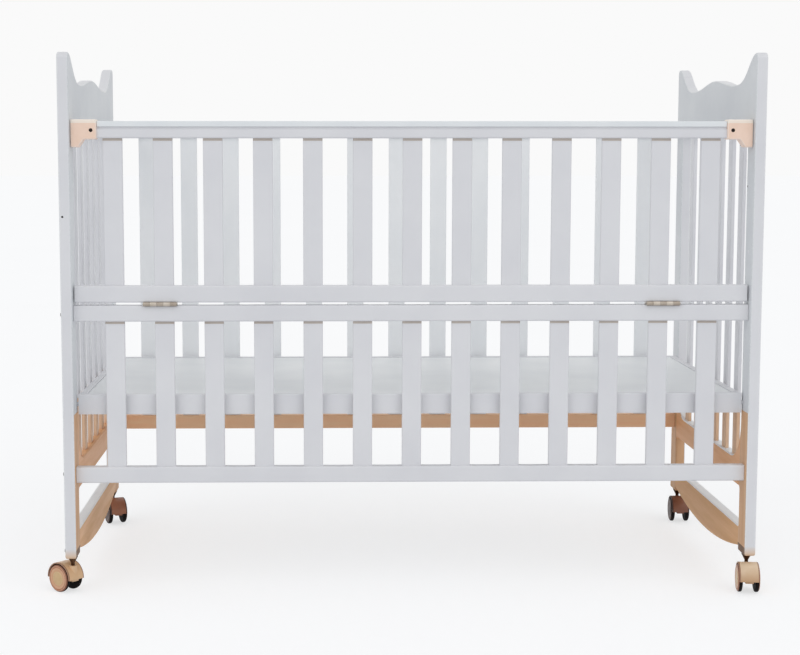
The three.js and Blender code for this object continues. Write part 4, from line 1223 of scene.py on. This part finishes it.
def make_caster(corner, hood_sides, wheel_materials):
    """One caster, turned as its joints say: hood, stem and two wheels."""
    stem = PIVOTS[f"swivel_{corner}"]
    axle = PIVOTS[f"spin_{corner}_b"]
    back = Vector((axle.x - stem.x, axle.y - stem.y, 0)).normalized()
    across = back.cross(UPRIGHT_AXIS)
    turn = Matrix((across, back, UPRIGHT_AXIS)).transposed().to_4x4()
    stand = Matrix.Translation((stem.x, stem.y, 0)) @ turn
    for label, bm, materials, choose, slot in (
        ("hood", hood_solid(), [HOODS[corner], *hood_sides], hood_tone(stem, across), "beige_plastic"),
        ("stem", stem_solid(), [STEM_SHADE_STEEL], None, "dark_steel"),
    ):
        bmesh.ops.transform(bm, matrix=stand, verts=bm.verts)
        place_piece(
            f"swivel_{label}_{corner}", bm, materials, f"caster_{corner}", slot,
            f"caster_{label}_{corner}", choose, UNMOVED,
        )
    for letter, way in (("a", -1), ("b", 1)):
        make_wheel(f"{corner}_{letter}", axle, across * way, wheel_materials)


def make_casters():
    """The casters; the back ones take darker plastic and black rubber in place of the light plastics, as
    painted shade.
    """
    light_disc = [TREAD, HUB_PLASTIC, DISC_PLASTIC, RIM_PLASTIC, OUTLINE_PLASTIC]
    shaded_disc = [TREAD, SHADED_BACK_PLASTIC, SHADED_BACK_PLASTIC, SHADED_BACK_PLASTIC, TREAD]
    for side_name, _ in SIDES:
        make_caster(f"front_{side_name}", [SIDE_SHADE_PLASTIC, LIP_SHADE_PLASTIC], light_disc)
    for side_name, _ in SIDES:
        make_caster(f"back_{side_name}", [SHADED_BACK_PLASTIC, TREAD], shaded_disc)


make_ends()
make_rail("lower_bottom_rail")
make_rail("lower_top_rail")
make_rail("back_bottom_rail", "frame", LIT_BACK_RAIL_WOOD, "natural_wood")
make_rail("back_top_rail")
make_rail("gate_bottom_rail", "gate")
make_gate_top()
make_slats("lower", "frame", WHITE_PAINT)
# The back slats take the lighter white, as painted light
make_slats("back", "frame", LIT_WHITE_PAINT)
make_slats("gate", "gate", WHITE_PAINT)
for side_name, side_sign in SIDES:
    make_end_slats(side_name, side_sign)
make_base()
make_latches()
make_fasteners()
make_casters()

# The CAD nodes that keep their own shape
KEPT = [(f"hinge_{leaf}_{side}", SHADED_LOWER_BRASS) for leaf in ("lower_leaf", "pin") for side, _ in SIDES]
KEPT += [(f"hinge_upper_leaf_{side}", LIT_UPPER_BRASS) for side, _ in SIDES]
KEPT += [(f"caster_axle_{depth}_{side}", STEEL) for depth, _ in DEPTHS for side, _ in SIDES]
for kept, finish_material in KEPT:
    solid = frame["nodes"][kept]
    solid.data.materials.clear()
    solid.data.materials.append(finish_material)


# Floor, light and camera


def lamp(name, side):
    """A far, broad lamp in front of the crib and to one side of it, high up."""
    light = bpy.data.lights.new(name, "SUN")
    light.angle = LAMP_SOFTNESS
    light.energy = LAMP_STRENGTH
    added(name, light).rotation_euler = (QUARTER - LAMP_HEIGHT_ANGLE, 0, side * LAMP_SIDE_ANGLE)


def seen_directly(tree, *more_rays):
    """1 for a ray from the camera, from a glossy face or of the other kinds named."""
    path = node(tree, "ShaderNodeLightPath").outputs
    seen = path["Is Camera Ray"]
    for ray in ("Is Glossy Ray", *more_rays):
        seen = calculate(tree, "MAXIMUM", seen, path[ray])
    return seen


def make_floor():
    """A pale floor that keeps the crib's shadow, and to the camera glows almost to white."""
    mesh = bpy.data.meshes.new("floor")
    corners = [corner.to_3d() for corner in rectangle(FLOOR_REACH, FLOOR_REACH)]
    mesh.from_pydata(corners, [], [(0, 1, 2, 3)])
    floor = added("floor", mesh)
    material, tree, shader, place = new_material("floor", specular=0.0)
    cloudy = remap(tree, noise(tree, place, 1.5, 2), 0.3, 0.7, 0, 1)
    shade = mix(tree, cloudy, tone(FLOOR_TONE), tone(FLOOR_CLOUD))
    tree.links.new(shade, shader.inputs["Base Color"])
    shader.inputs["Roughness"].default_value = 1
    share = calculate(tree, "MULTIPLY", seen_directly(tree), FLOOR_GLOW_SHARE)
    glow = node(tree, "ShaderNodeEmission", {"Color": tone("ffffff"), "Strength": FLOOR_GLOW})
    both = node(tree, "ShaderNodeMixShader", {0: share, 1: shader.outputs[0], 2: glow.outputs[0]})
    output = next(made for made in tree.nodes if made.type == "OUTPUT_MATERIAL")
    tree.links.new(both.outputs[0], output.inputs["Surface"])
    mesh.materials.append(material)


def make_world():
    """A soft sky that lights the crib, and the pale backdrop that the camera sees."""
    world = bpy.data.worlds.new("studio")
    bpy.context.scene.world = world
    world.use_nodes = True
    tree = world.node_tree
    tree.nodes.clear()
    light = node(tree, "ShaderNodeBackground", {"Color": tone(SKY_TONE), "Strength": SKY_STRENGTH})
    shown = node(tree, "ShaderNodeBackground", {"Color": tone(BACKDROP_TONE), "Strength": 1.0})
    seen = seen_directly(tree, "Is Transmission Ray")
    both = node(tree, "ShaderNodeMixShader", {0: seen, 1: light.outputs[0], 2: shown.outputs[0]})
    output = node(tree, "ShaderNodeOutputWorld")
    tree.links.new(both.outputs[0], output.inputs["Surface"])


def make_camera():
    """The camera of the photograph, as fitted to the crib's edges."""
    lens = bpy.data.cameras.new("camera")
    lens.lens = CAMERA_LENS
    lens.sensor_fit = "HORIZONTAL"
    lens.sensor_width = SENSOR_WIDTH
    lens.shift_x, lens.shift_y = CAMERA_SHIFT
    camera = added("camera", lens)
    camera.location = CAMERA_PLACE
    camera.rotation_euler = (QUARTER - CAMERA_TILT, 0, CAMERA_TURN)
    bpy.context.scene.camera = camera


make_floor()
make_world()
lamp("left lamp", -1)
lamp("right lamp", 1)
make_camera()
bpy.context.scene.view_settings.view_transform = "Standard"
